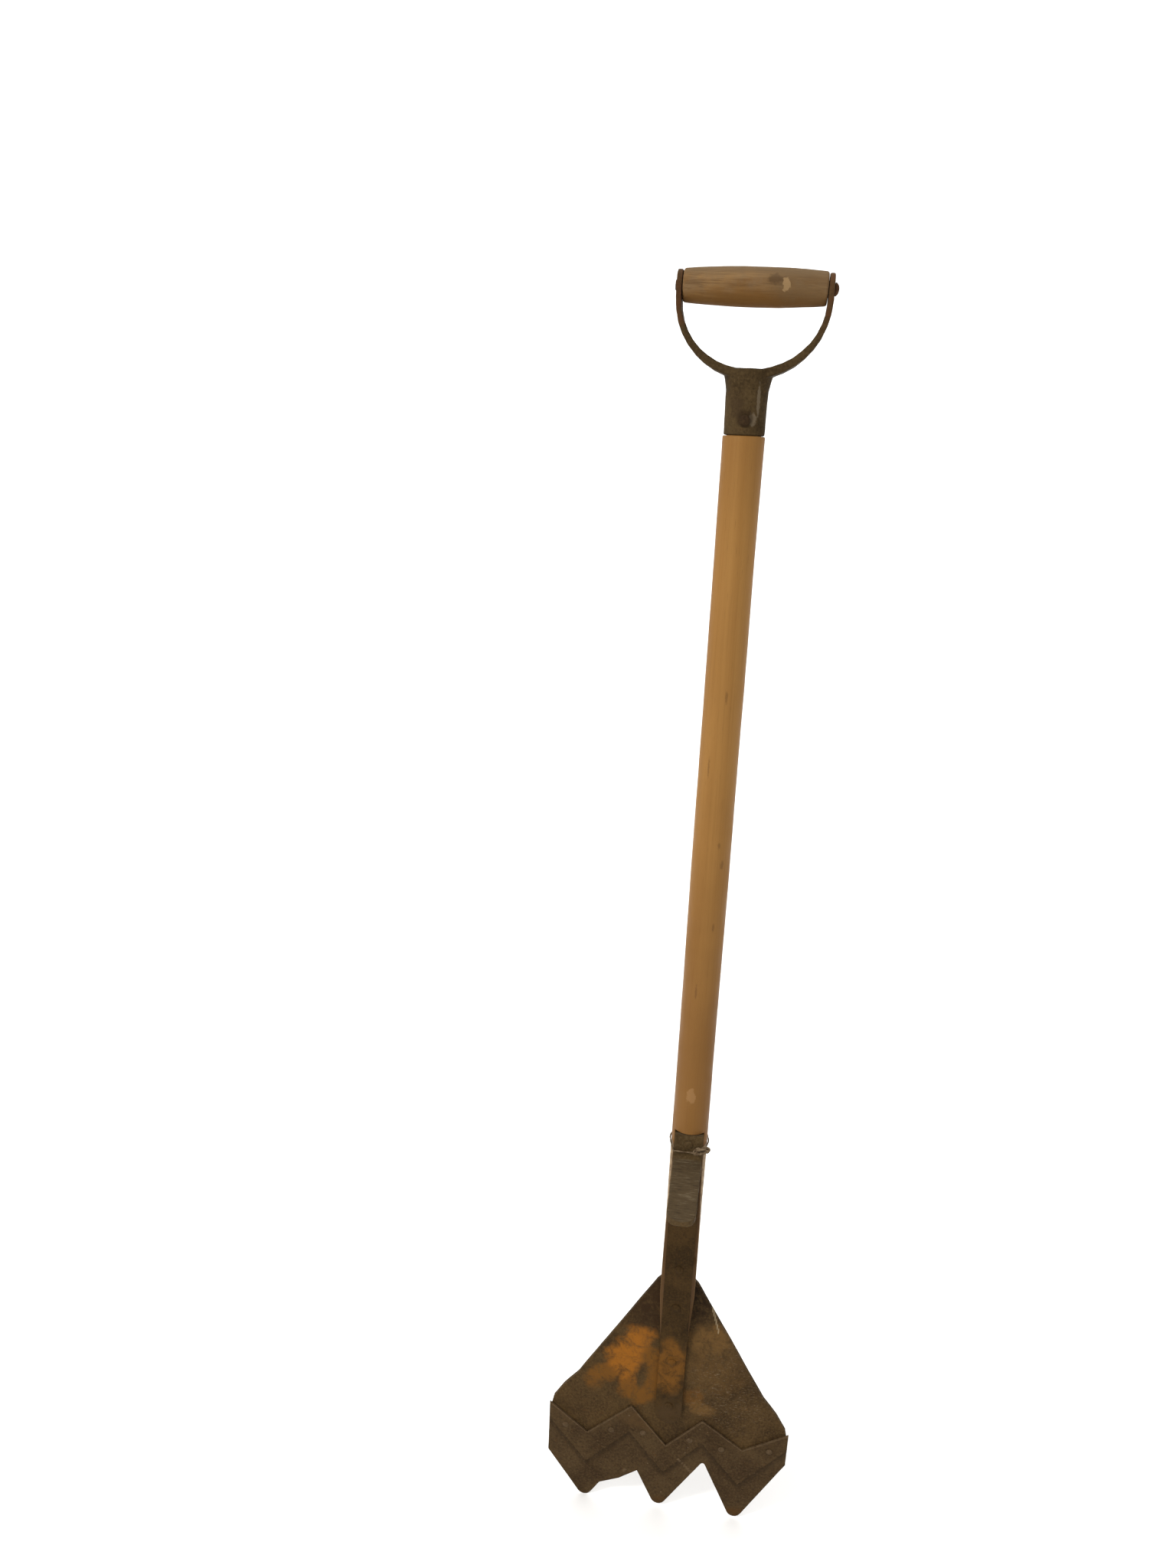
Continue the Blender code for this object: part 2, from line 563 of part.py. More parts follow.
def build_rivets(frame):
    """Every rivet that holds the irons, each from the front-most face to the rear-most one."""
    iron = ((0.10, 0.075, 0.055), 0.5, 0.7)
    large = (RIVET_R, RIVET_HEAD_R, RIVET_HEAD_T)
    small = (TOOTH_RIVET_R, TOOTH_RIVET_HEAD_R, TOOTH_RIVET_HEAD_T)
    rivet("yoke_rivet", -SOCKET_TOP_R, SOCKET_TOP_R, 0, YOKE_RIVET_Z, large, iron, frame)
    rivet("step_rivet", LEG_FRONT_Y, REAR_BACK_Y, 0, STEP_RIVET_Z, large, iron, frame)
    strap_line = [(0.0, TONGUE_BACK_Y), (STRAP_FLAT_Z, TONGUE_BACK_Y)]
    strap_line += [(z, y + STRAP_BACK_Y - WOOD_FRONT_Y) for z, y in wood_front()]
    for group, heights in (("strap_rivet", STRAP_RIVETS_Z), ("tongue_rivet", TONGUE_RIVETS_Z)):
        for number, z in enumerate(heights, 1):
            front = min(height_at(strap_line, z - RIVET_HEAD_R), height_at(strap_line, z + RIVET_HEAD_R))
            back = height_at(rear_path(BODY_T), z + RIVET_HEAD_R)
            on_flat_back = z + RIVET_HEAD_R < REAR_JOG_LOW_Z
            name = "%s_%d" % (group, number)
            rivet(name, front - STRAP_T, back, 0, z, large, iron, frame, on_flat_back)
    for number, (x, z) in enumerate(tooth_rivet_places(), 1):
        face = PLATE_BACK_Y - TOOTH_PLATE_T
        rivet("tooth_rivet_%d" % number, face, BODY_FRONT_Y + BODY_T, x, z, small, iron, frame, True)


# ================= twine =================
def wrap_point(angle, offset):
    """A point on a cord pulled tight round the shaft and the irons beside it."""
    normal = (math.cos(angle), math.sin(angle))
    corner_y = REAR_BACK_Y if normal[1] > 0 else LEG_FRONT_Y
    corner = (math.copysign(STRAP_HALF_W, normal[0]), corner_y)
    reach = corner[0] * normal[0] + corner[1] * normal[1]
    base = corner if reach > SHAFT_R else (SHAFT_R * normal[0], SHAFT_R * normal[1])
    return (base[0] + offset * normal[0], base[1] + offset * normal[1])


def build_twine(frame):
    loop = bpy.data.curves.new("twine_ring", "CURVE")
    loop.dimensions = "3D"
    loop.bevel_depth = TWINE_R
    loop.bevel_resolution = 2
    spline = loop.splines.new("POLY")
    count = 48
    spline.points.add(count - 1)
    for index in range(count):
        angle = 2 * math.pi * (index + 0.5) / count
        x, y = wrap_point(angle, TWINE_R + 2 * GAP)
        spline.points[index].co = (x, y, TWINE_Z + TWINE_RISE * abs(math.cos(angle)), 1)
    spline.use_cyclic_u = True
    ring = solid_of(loop, "twine_ring")
    twine = ((0.42, 0.35, 0.25), 0.9, 0.0)
    add_part(ring, "twine_ring", twine, frame)

    bm = bmesh.new()
    bmesh.ops.create_icosphere(bm, subdivisions=2, radius=1.0)
    for vert in bm.verts:
        lump = 1 + 0.10 * math.sin(5 * vert.co.x + 2) * math.cos(4 * vert.co.z)
        half_x, half_y, half_z = KNOT_HALF
        vert.co = (vert.co.x * half_x * lump, vert.co.y * half_y, vert.co.z * half_z * lump)
    knot = mesh_object("twine_knot", bm)
    knot_y = LEG_FRONT_Y - 3 * GAP - 2 * TWINE_R - KNOT_HALF[1]
    knot.location = (STRAP_HALF_W - 2 * TWINE_R, knot_y, TWINE_Z + 1.5 * KNOT_HALF[2])
    add_part(knot, "twine_knot", twine, frame)


# ================= build the tool =================
ROLL_Z_TO_X = Matrix.Rotation(math.radians(90), 4, "Y")
ROLL_Z_TO_Y = Matrix.Rotation(math.radians(-90), 4, "X")
SHEET_TO_X = Matrix(((0, 0, 1), (1, 0, 0), (0, 1, 0))).to_4x4()   # (across, up, depth) to (y, z, x)
SHEET_TO_Y = Matrix(((1, 0, 0), (0, 0, 1), (0, 1, 0))).to_4x4()   # (across, up, depth) to (x, z, y)

clear_scene()
PARTS = bpy.data.collections.new("post_hole_digger")
CUTTERS = bpy.data.collections.new("cutters")
bpy.context.scene.collection.children.link(PARTS)
bpy.context.scene.collection.children.link(CUTTERS)

shaft_frame = bpy.data.objects.new("shaft_axis", None)
shaft_frame.location = (0, SHAFT_Y, 0)
PARTS.objects.link(shaft_frame)
grip_pivot = bpy.data.objects.new("grip_pivot", None)
grip_pivot.location = (0, 0, GRIP_Z)
grip_pivot.parent = shaft_frame
PARTS.objects.link(grip_pivot)

build_shaft(shaft_frame)
build_grip(grip_pivot)
build_yoke(shaft_frame)
build_rod(shaft_frame)
build_blade_body(shaft_frame)
build_tooth_plate(shaft_frame)
build_front_strap(shaft_frame)
build_foot_step(shaft_frame)
build_rivets(shaft_frame)
build_twine(shaft_frame)
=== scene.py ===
# %% [markdown]
# A post hole digger in Blender, cell by cell. The tool is an old hand tool: a wooden barrel grip in an
# iron D, a long round shaft, a foot step, and a broad iron blade with three deep teeth. Its shapes and
# sizes come ready-made as a imported frame of named nodes. This file gives every one of them its real
# surface: worn edges, forged skin, wood grain, rust and twine. The frame loads first, because every later
# cell measures it, and its box is kept for the floor and the lamps.

# %% Load the frame
import json
import math
import random

import bmesh
import bpy
from mathutils import Matrix, Vector, noise


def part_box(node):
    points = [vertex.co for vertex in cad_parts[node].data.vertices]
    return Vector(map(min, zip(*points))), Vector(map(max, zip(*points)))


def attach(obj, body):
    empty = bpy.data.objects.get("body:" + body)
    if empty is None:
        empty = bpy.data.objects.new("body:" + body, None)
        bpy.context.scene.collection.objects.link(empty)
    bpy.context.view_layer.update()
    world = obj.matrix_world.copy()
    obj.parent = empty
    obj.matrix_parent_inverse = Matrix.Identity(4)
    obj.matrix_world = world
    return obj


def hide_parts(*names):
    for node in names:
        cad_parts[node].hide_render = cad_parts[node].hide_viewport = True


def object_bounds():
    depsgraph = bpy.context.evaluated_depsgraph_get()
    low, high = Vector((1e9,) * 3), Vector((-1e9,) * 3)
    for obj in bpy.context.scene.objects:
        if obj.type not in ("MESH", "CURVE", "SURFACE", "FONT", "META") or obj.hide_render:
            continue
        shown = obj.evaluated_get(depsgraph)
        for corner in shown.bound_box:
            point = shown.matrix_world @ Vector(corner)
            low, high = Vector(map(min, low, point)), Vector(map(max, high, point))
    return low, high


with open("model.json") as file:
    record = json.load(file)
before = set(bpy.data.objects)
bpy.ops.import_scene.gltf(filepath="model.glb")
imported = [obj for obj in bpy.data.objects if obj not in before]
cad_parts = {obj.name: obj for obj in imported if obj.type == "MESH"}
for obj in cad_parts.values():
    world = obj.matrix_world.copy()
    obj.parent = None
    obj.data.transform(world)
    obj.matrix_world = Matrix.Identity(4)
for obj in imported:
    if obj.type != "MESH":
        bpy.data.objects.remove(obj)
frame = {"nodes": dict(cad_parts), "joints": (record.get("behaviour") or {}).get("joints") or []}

cad_low, cad_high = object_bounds()
print("the tool is %.3f m tall and %.3f m wide" % (cad_high.z, cad_high.x - cad_low.x))

# %% [markdown]
# Places are read from the frame instead of being typed in. The grip's joint gives the height of the rod,
# the shaft's box gives the axis and radius of the handle, and the blade's box gives its face. A later
# change of size in the frame then moves every piece and every stain with it.

# %% Measure the places
rod_at = Vector(frame["joints"][0]["pos_m"])
shaft_low, shaft_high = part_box("shaft")
strap_low, strap_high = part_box("front_strap")
body_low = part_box("blade_body")[0]
plate_low, plate_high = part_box("tooth_plate")
axis_y = (shaft_low.y + shaft_high.y) / 2
shaft_r = (shaft_high.x - shaft_low.x) / 2
lip_z = strap_high.z
print("rod at z %.3f, shaft radius %.1f mm, notch at z %.3f" % (rod_at.z, shaft_r * 1000, lip_z))

# %% [markdown]
# The camera stands a metre in front of the tool, just below the rod of the D, and looks down along the
# shaft, so the shaft tapers towards the blade by perspective alone. It could be placed by eye, but a
# hand-held view has a small turn and a small roll as well, so the three angles are named and joined as one
# rotation matrix.

# %% Camera
CAMERA_RIGHT = 0.0231
CAMERA_AHEAD = 1.0178
CAMERA_BELOW_ROD = 0.1228
TURN_LEFT = 7.784
LOOK_DOWN = 16.250
ROLL = 2.614
LENS_MM = 27.035

camera_data = bpy.data.cameras.new("camera")
camera_data.lens = LENS_MM
camera_data.sensor_width = 36.0
camera = bpy.data.objects.new("camera", camera_data)
bpy.context.scene.collection.objects.link(camera)
aim = Matrix.Rotation(math.radians(TURN_LEFT), 4, "Z")
aim = aim @ Matrix.Rotation(math.radians(90 - LOOK_DOWN), 4, "X")
aim = aim @ Matrix.Rotation(math.radians(ROLL), 4, "Z")
stand = Vector((CAMERA_RIGHT, axis_y - CAMERA_AHEAD, rod_at.z - CAMERA_BELOW_ROD))
camera.matrix_world = Matrix.Translation(stand) @ aim
bpy.context.scene.camera = camera
print("camera %.2f m in front of the shaft" % CAMERA_AHEAD)

# %% [markdown]
# A tool catalogue shows its tools on plain white. A pale floor that curves up into a far wall does the
# same here: the cove has no corner, so there is no horizon behind the shaft. The Standard view transform
# is used, because it leaves a white floor white, where the filmic ones would grey it.

# %% Floor and sky
scene = bpy.context.scene
scene.view_settings.view_transform = "Standard"
world = bpy.data.worlds.new("white_sky")
scene.world = world
world.use_nodes = True
sky = world.node_tree.nodes["Background"]
sky.inputs["Color"].default_value = (1.0, 0.995, 0.985, 1.0)
sky.inputs["Strength"].default_value = 0.88

FLOOR_DROP = 0.0004
COVE_WIDTH = 9.0
COVE_START = 1.2
COVE_RADIUS = 2.4
COVE_HEIGHT = 5.0
cove_line = [(-4.0, 0.0), (COVE_START, 0.0)]
for step in range(1, 25):
    turn = math.radians(90 * step / 24)
    cove_line.append((COVE_START + COVE_RADIUS * math.sin(turn), COVE_RADIUS * (1 - math.cos(turn))))
cove_line.append((COVE_START + COVE_RADIUS, COVE_HEIGHT))
cove_bm = bmesh.new()
cove_rows = []
for y, z in cove_line:
    cove_rows.append([cove_bm.verts.new((x, y, z)) for x in (-COVE_WIDTH / 2, COVE_WIDTH / 2)])
for near, far in zip(cove_rows, cove_rows[1:]):
    cove_bm.faces.new((near[0], near[1], far[1], far[0]))
cove_mesh = bpy.data.meshes.new("cove")
cove_bm.to_mesh(cove_mesh)
cove_bm.free()
cove_mesh.shade_smooth()
cove = bpy.data.objects.new("cove", cove_mesh)
cove.location = (0, 0, cad_low.z - FLOOR_DROP)
scene.collection.objects.link(cove)
cove_paint = bpy.data.materials.new("pale_cove")
cove_paint.use_nodes = True
cove_shader = cove_paint.node_tree.nodes["Principled BSDF"]
cove_shader.inputs["Base Color"].default_value = (0.95, 0.945, 0.935, 1.0)
cove_shader.inputs["Roughness"].default_value = 0.9
cove_shader.inputs["Specular IOR Level"].default_value = 0.1
cove.data.materials.append(cove_paint)
print("cove %.1f m wide, wall %.1f m behind the tool" % (COVE_WIDTH, COVE_START + COVE_RADIUS))

# %% [markdown]
# The light is a bright sky with one broad lamp high on the left. Broad lamps give soft edges: the wood
# still throws a short shadow to its right across the blade, and the step throws one below itself, which is
# what tells the eye that it sticks out towards the viewer. A second lamp only washes the wall, so that it
# stays white.

# %% Lamps
def area_lamp(name, place, target, size, watts, colour):
    lamp = bpy.data.lights.new(name, "AREA")
    lamp.shape = "DISK"
    lamp.size = size
    lamp.energy = watts
    lamp.color = colour
    holder = bpy.data.objects.new(name, lamp)
    holder.location = place
    holder.rotation_euler = (Vector(target) - Vector(place)).to_track_quat("-Z", "Y").to_euler()
    scene.collection.objects.link(holder)
    return holder


tool_middle = (0, axis_y, 0.55 * cad_high.z)
area_lamp("key", (-2.0, axis_y - 1.9, 2.9), tool_middle, 0.7, 70, (1.0, 0.98, 0.95))
area_lamp("wall_wash", (0.0, axis_y + 0.6, 3.6), (0.0, 3.5, 1.4), 2.4, 60, (1.0, 1.0, 1.0))
print("a key lamp, a wash for the wall and a white sky")

# %% [markdown]
# The frame's solids are exact but plain: every edge is knife sharp and every face is dead flat. Real
# forged and turned pieces are neither. One helper makes a finer copy of any node. It joins split corners,
# dissolves the triangles back into whole faces, rounds the edges with a Bevel, and slices the result into
# small cells, so that there are enough points to push about. Voxel remeshing could do it too, but it would
# soften thin plates.

# %% A finer copy of a node
def welded(node):
    """The node's own mesh with its corners joined and its flat triangles merged into whole faces."""
    bm = bmesh.new()
    bm.from_mesh(frame["nodes"][node].data)
    bmesh.ops.remove_doubles(bm, verts=bm.verts, dist=1e-5)
    bmesh.ops.dissolve_limit(bm, angle_limit=math.radians(0.4), verts=bm.verts, edges=bm.edges)
    return bm


def new_object(name, bm):
    mesh = bpy.data.meshes.new(name)
    bm.to_mesh(mesh)
    bm.free()
    obj = bpy.data.objects.new(name, mesh)
    scene.collection.objects.link(obj)
    return obj


def apply_modifiers(obj):
    graph = bpy.context.evaluated_depsgraph_get()
    mesh = bpy.data.meshes.new_from_object(obj.evaluated_get(graph))
    obj.modifiers.clear()
    obj.data = mesh
    return obj


def round_edges(obj, width, segments=2, angle=28):
    bevel = obj.modifiers.new("round", "BEVEL")
    bevel.width = width
    bevel.segments = segments
    bevel.limit_method = "ANGLE"
    bevel.angle_limit = math.radians(angle)
    bevel.use_clamp_overlap = True
    return apply_modifiers(obj)


def slice_cells(obj, steps):
    """Cut the mesh by evenly spaced planes across X, Y and Z. A step of None leaves that axis alone."""
    bm = bmesh.new()
    bm.from_mesh(obj.data)
    for axis, step in enumerate(steps):
        if step is None:
            continue
        places = [vert.co[axis] for vert in bm.verts]
        low, high = min(places), max(places)
        count = max(1, round((high - low) / step))
        normal = [0, 0, 0]
        normal[axis] = 1
        for index in range(1, count):
            point = [0, 0, 0]
            point[axis] = low + (high - low) * index / count
            geometry = bm.verts[:] + bm.edges[:] + bm.faces[:]
            bmesh.ops.bisect_plane(bm, geom=geometry, dist=1e-6, plane_co=point, plane_no=normal)
    bm.to_mesh(obj.data)
    bm.free()
    return obj


def fine_copy(node, name, edge, steps):
    obj = new_object(name, welded(node))
    round_edges(obj, edge)
    slice_cells(obj, steps)
    print("%s: %d points" % (name, len(obj.data.vertices)))
    return obj


# %% [markdown]
# Wear is noise pushed along the surface's own normals: a long slow swell for hammering or for a
# hand-turned barrel, and a fine short one for pitting. The amounts are tenths of a millimetre, so the
# piece stays inside its solid's size but its outline and its reflections stop being perfect.

# %% Push the surface about
def roughen(obj, swells, seed):
    """Move each point along its normal by a sum of noises, given as (wavelength, height) in metres."""
    shift = Vector((seed * 7.31, seed * 3.17, seed * 5.53))
    normals = [vert.normal.copy() for vert in obj.data.vertices]
    for vert, normal in zip(obj.data.vertices, normals):
        push = sum(height * noise.noise(vert.co / length + shift) for length, height in swells)
        vert.co += normal * (push - sum(height for _, height in swells) * 0.25)
    obj.data.update()
    return obj


def finish_surface(obj, material, angle=35):
    obj.data.materials.clear()
    obj.data.materials.append(material)
    obj.data.shade_smooth()
    obj.data.set_sharp_from_angle(angle=math.radians(angle))
    return obj


def place(obj, body, slot, *nodes):
    """Let a piece ride on its body and stand for the nodes it replaces; the slot is not used."""
    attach(obj, body)
    if nodes:
        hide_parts(*nodes)
    return obj


# %% [markdown]
# Every finish here is a small net of noise nodes. A tiny helper class keeps the nets short: each call adds
# one node, wires what it is given, and returns the output to use next. It reads object coordinates, which
# are metres on the tool itself, so a grain or a stain keeps its true size and moves with the piece.

# %% A short way to wire a material
class Finish:
    def __init__(self, name):
        self.material = bpy.data.materials.new(name)
        self.material.use_nodes = True
        self.tree = self.material.node_tree
        self.shader = self.tree.nodes["Principled BSDF"]
        self.where = self.tree.nodes.new("ShaderNodeTexCoord").outputs["Object"]

    def wire(self, socket, value):
        if isinstance(value, bpy.types.NodeSocket):
            self.tree.links.new(value, socket)
        else:
            socket.default_value = value

    def stretch(self, scale, move=(0, 0, 0), turn=(0, 0, 0)):
        node = self.tree.nodes.new("ShaderNodeMapping")
        self.wire(node.inputs["Vector"], self.where)
        node.inputs["Scale"].default_value = scale
        node.inputs["Location"].default_value = move
        node.inputs["Rotation"].default_value = turn
        return node.outputs["Vector"]

    def noise(self, scale, vector=None, detail=4.0, rough=0.55, twist=0.0):
        node = self.tree.nodes.new("ShaderNodeTexNoise")
        self.wire(node.inputs["Vector"], vector or self.where)
        node.inputs["Scale"].default_value = scale
        node.inputs["Detail"].default_value = detail
        node.inputs["Roughness"].default_value = rough
        node.inputs["Distortion"].default_value = twist
        return node.outputs["Fac"]

    def ramp(self, value, low, high, start=0.0, end=1.0):
        node = self.tree.nodes.new("ShaderNodeMapRange")
        node.interpolation_type = "SMOOTHSTEP"
        self.wire(node.inputs["Value"], value)
        node.inputs["From Min"].default_value = low
        node.inputs["From Max"].default_value = high
        node.inputs["To Min"].default_value = start
        node.inputs["To Max"].default_value = end
        return node.outputs["Result"]

    def sums(self, kind, first, second=0.0):
        node = self.tree.nodes.new("ShaderNodeMath")
        node.operation = kind
        self.wire(node.inputs[0], first)
        self.wire(node.inputs[1], second)
        return node.outputs["Value"]

    def blend(self, share, first, second, kind="MIX"):
        node = self.tree.nodes.new("ShaderNodeMix")
        node.data_type = "RGBA"
        node.blend_type = kind
        self.wire(node.inputs[0], share)
        self.wire(node.inputs[6], first)
        self.wire(node.inputs[7], second)
        return node.outputs[2]

    def patch(self, centre, radii, ragged=0.5, scale=90.0, soft=0.5):
        """A blot with a ragged rim: 1 inside, 0 outside, round a centre with a radius for each axis."""
        offset = self.tree.nodes.new("ShaderNodeVectorMath")
        offset.operation = "SUBTRACT"
        self.wire(offset.inputs[0], self.where)
        offset.inputs[1].default_value = centre
        shrink = self.tree.nodes.new("ShaderNodeVectorMath")
        shrink.operation = "DIVIDE"
        self.wire(shrink.inputs[0], offset.outputs["Vector"])
        shrink.inputs[1].default_value = radii
        length = self.tree.nodes.new("ShaderNodeVectorMath")
        length.operation = "LENGTH"
        self.wire(length.inputs[0], shrink.outputs["Vector"])
        wobble = self.sums("MULTIPLY", self.noise(scale, detail=5.0), 2 * ragged)
        edge = self.sums("ADD", length.outputs["Value"], self.sums("SUBTRACT", wobble, ragged))
        return self.ramp(edge, 1.0 + soft / 2, 1.0 - soft / 2)

    def most(self, values):
        result = values[0]
        for value in values[1:]:
            result = self.sums("MAXIMUM", result, value)
        return result

    def bump(self, height, depth, strength=1.0, normal=None):
        node = self.tree.nodes.new("ShaderNodeBump")
        node.inputs["Distance"].default_value = depth
        node.inputs["Strength"].default_value = strength
        self.wire(node.inputs["Height"], height)
        if normal:
            self.wire(node.inputs["Normal"], normal)
        return node.outputs["Normal"]

    def attribute(self, name):
        node = self.tree.nodes.new("ShaderNodeAttribute")
        node.attribute_name = name
        return node.outputs["Fac"]

    def facing(self, axis):
        """How far the surface itself faces along X, Y or Z of the world, from -1 to 1."""
        node = self.tree.nodes.new("ShaderNodeNewGeometry")
        split = self.tree.nodes.new("ShaderNodeSeparateXYZ")
        self.wire(split.inputs["Vector"], node.outputs["True Normal"])
        return split.outputs[axis]

    def set(self, specular=0.2, **sockets):
        self.shader.inputs["Specular IOR Level"].default_value = specular
        for name, value in sockets.items():
            self.wire(self.shader.inputs[name.replace("_", " ")], value)
        return self.material


print("finishes read metres on the tool itself")


# %% [markdown]
# The shaft is a turned ash handle under old varnish. Ash shows long straight fibres with darker bands
# between them. The bands come from noise that is squeezed across the shaft and drawn out along it, and the
# fibres from a second, much finer one. Dirt gathers near the irons at both ends and on the end grain in
# the socket, and there are a few knocks and stains. Below the notch the wood is painted dark as shade, and
# its two flanks get a painted highlight.

# %% Shaft wood
def rgb(red, green, blue):
    return (red, green, blue, 1.0)


GOLD_LIGHT = rgb(0.282, 0.142, 0.038)
GOLD_DARK = rgb(0.222, 0.104, 0.025)
# Painted shade colour for the wood below the notch.
NOTCH_SHADE = rgb(0.055, 0.028, 0.010)


def shaft_wood():
    wood = Finish("shaft_ash")
    bands = wood.noise(1.0, wood.stretch((48, 48, 1.3)), 3.0, 0.5, 0.5)
    fibres = wood.noise(1.0, wood.stretch((800, 800, 11)), 3.0, 0.6)
    pores = wood.noise(1.0, wood.stretch((1400, 1400, 50), (3, 1, 2)), 2.0, 0.7)
    tone = wood.noise(6.0, detail=2.0)
    colour = wood.blend(wood.ramp(bands, 0.30, 0.70), GOLD_DARK, GOLD_LIGHT)
    colour = wood.blend(wood.ramp(fibres, 0.45, 0.75, 0.0, 0.22), colour, rgb(0.14, 0.060, 0.014))
    colour = wood.blend(wood.ramp(pores, 0.62, 0.78, 0.0, 0.38), colour, rgb(0.095, 0.040, 0.010))
    colour = wood.blend(wood.ramp(tone, 0.40, 0.70, 0.0, 0.30), colour, rgb(0.185, 0.085, 0.021))
    grime = wood.patch((0, axis_y, lip_z), (0.05, 0.05, 0.23), 0.3, 22.0, 1.5)
    colour = wood.blend(wood.sums("MULTIPLY", grime, 0.62), colour, rgb(0.125, 0.053, 0.012))
    handled = wood.patch((0, axis_y, shaft_high.z), (0.05, 0.05, 0.10), 0.3, 22.0, 1.2)
    colour = wood.blend(wood.sums("MULTIPLY", handled, 0.35), colour, rgb(0.165, 0.076, 0.019))
    bare = wood.patch((-0.0012, axis_y - shaft_r, lip_z + 0.042), (0.0042, 0.008, 0.0075), 0.7, 260.0, 0.25)
    colour = wood.blend(wood.sums("MULTIPLY", bare, 0.85), colour, rgb(0.245, 0.128, 0.046))
    colour = wood.blend(wood.sums("MULTIPLY", smudges(wood), 0.42), colour, rgb(0.085, 0.038, 0.011))
    colour = wedge_shade_and_highlight(wood, colour)
    end_grain = wood.patch((0, axis_y, shaft_high.z), (0.030, 0.030, 0.0016), 0.1, 300.0, 0.4)
    colour = wood.blend(wood.sums("MULTIPLY", end_grain, 0.9), colour, rgb(0.046, 0.026, 0.011))
    gloss = wood.ramp(wood.noise(38.0), 0.3, 0.7, 0.42, 0.58)
    relief = wood.bump(fibres, 0.00010, 0.5, wood.bump(pores, 0.00006, 0.4))
    return wood.set(0.11, Base_Color=colour, Roughness=gloss, Normal=relief)


def wedge_shade_and_highlight(wood, colour):
    """Below the notch the wood is painted dark as shade, except for a painted highlight on its flanks."""
    # Painted shade: all the wood below the notch is darkened.
    notch_shade = wood.patch((0, axis_y, lip_z - 0.20), (0.05, 0.05, 0.197), 0.0, 60.0, 0.03)
    colour = wood.blend(wood.sums("MULTIPLY", notch_shade, 0.80), colour, NOTCH_SHADE)
    # Painted highlight: the flanks that face sideways are painted pale, as if lit.
    side = wood.most([wood.facing("X"), wood.sums("MULTIPLY", wood.facing("X"), -1.0)])
    broken = wood.ramp(wood.noise(150.0, detail=5.0, rough=0.7), 0.35, 0.60, 0.25, 1.0)
    painted_highlight = wood.sums("MULTIPLY", wood.ramp(side, 0.75, 0.98), broken)
    painted_highlight = wood.sums("MULTIPLY", painted_highlight, notch_shade)
    return wood.blend(wood.sums("MULTIPLY", painted_highlight, 0.95), colour, rgb(0.330, 0.228, 0.120))


def smudges(wood):
    """Knocks and stains along the shaft, given as height above the notch, side and size."""
    front = axis_y - shaft_r
    marks = []
    for rise, side, width, height in ((0.276, 0.0105, 0.0016, 0.0035), (0.295, 0.0065, 0.0011, 0.0030),
                                      (0.150, -0.0040, 0.0009, 0.0070), (0.430, 0.0030, 0.0010, 0.0050),
                                      (0.365, -0.0080, 0.0008, 0.0090), (0.215, 0.0070, 0.0010, 0.0040)):
        marks.append(wood.patch((side, front, lip_z + rise), (width, 0.009, height), 0.9, 400.0, 0.9))
    return wood.most(marks)


shaft_finish = shaft_wood()
shaft = fine_copy("shaft", "turned_shaft", 0.0006, (None, None, 0.006))
roughen(shaft, [(0.11, 0.0004), (0.028, 0.00012)], 1)
finish_surface(shaft, shaft_finish)
place(shaft, "tool", "shaft_wood", "shaft")
print("the shaft is %d mm long" % round(1000 * (shaft_high.z - shaft_low.z)))
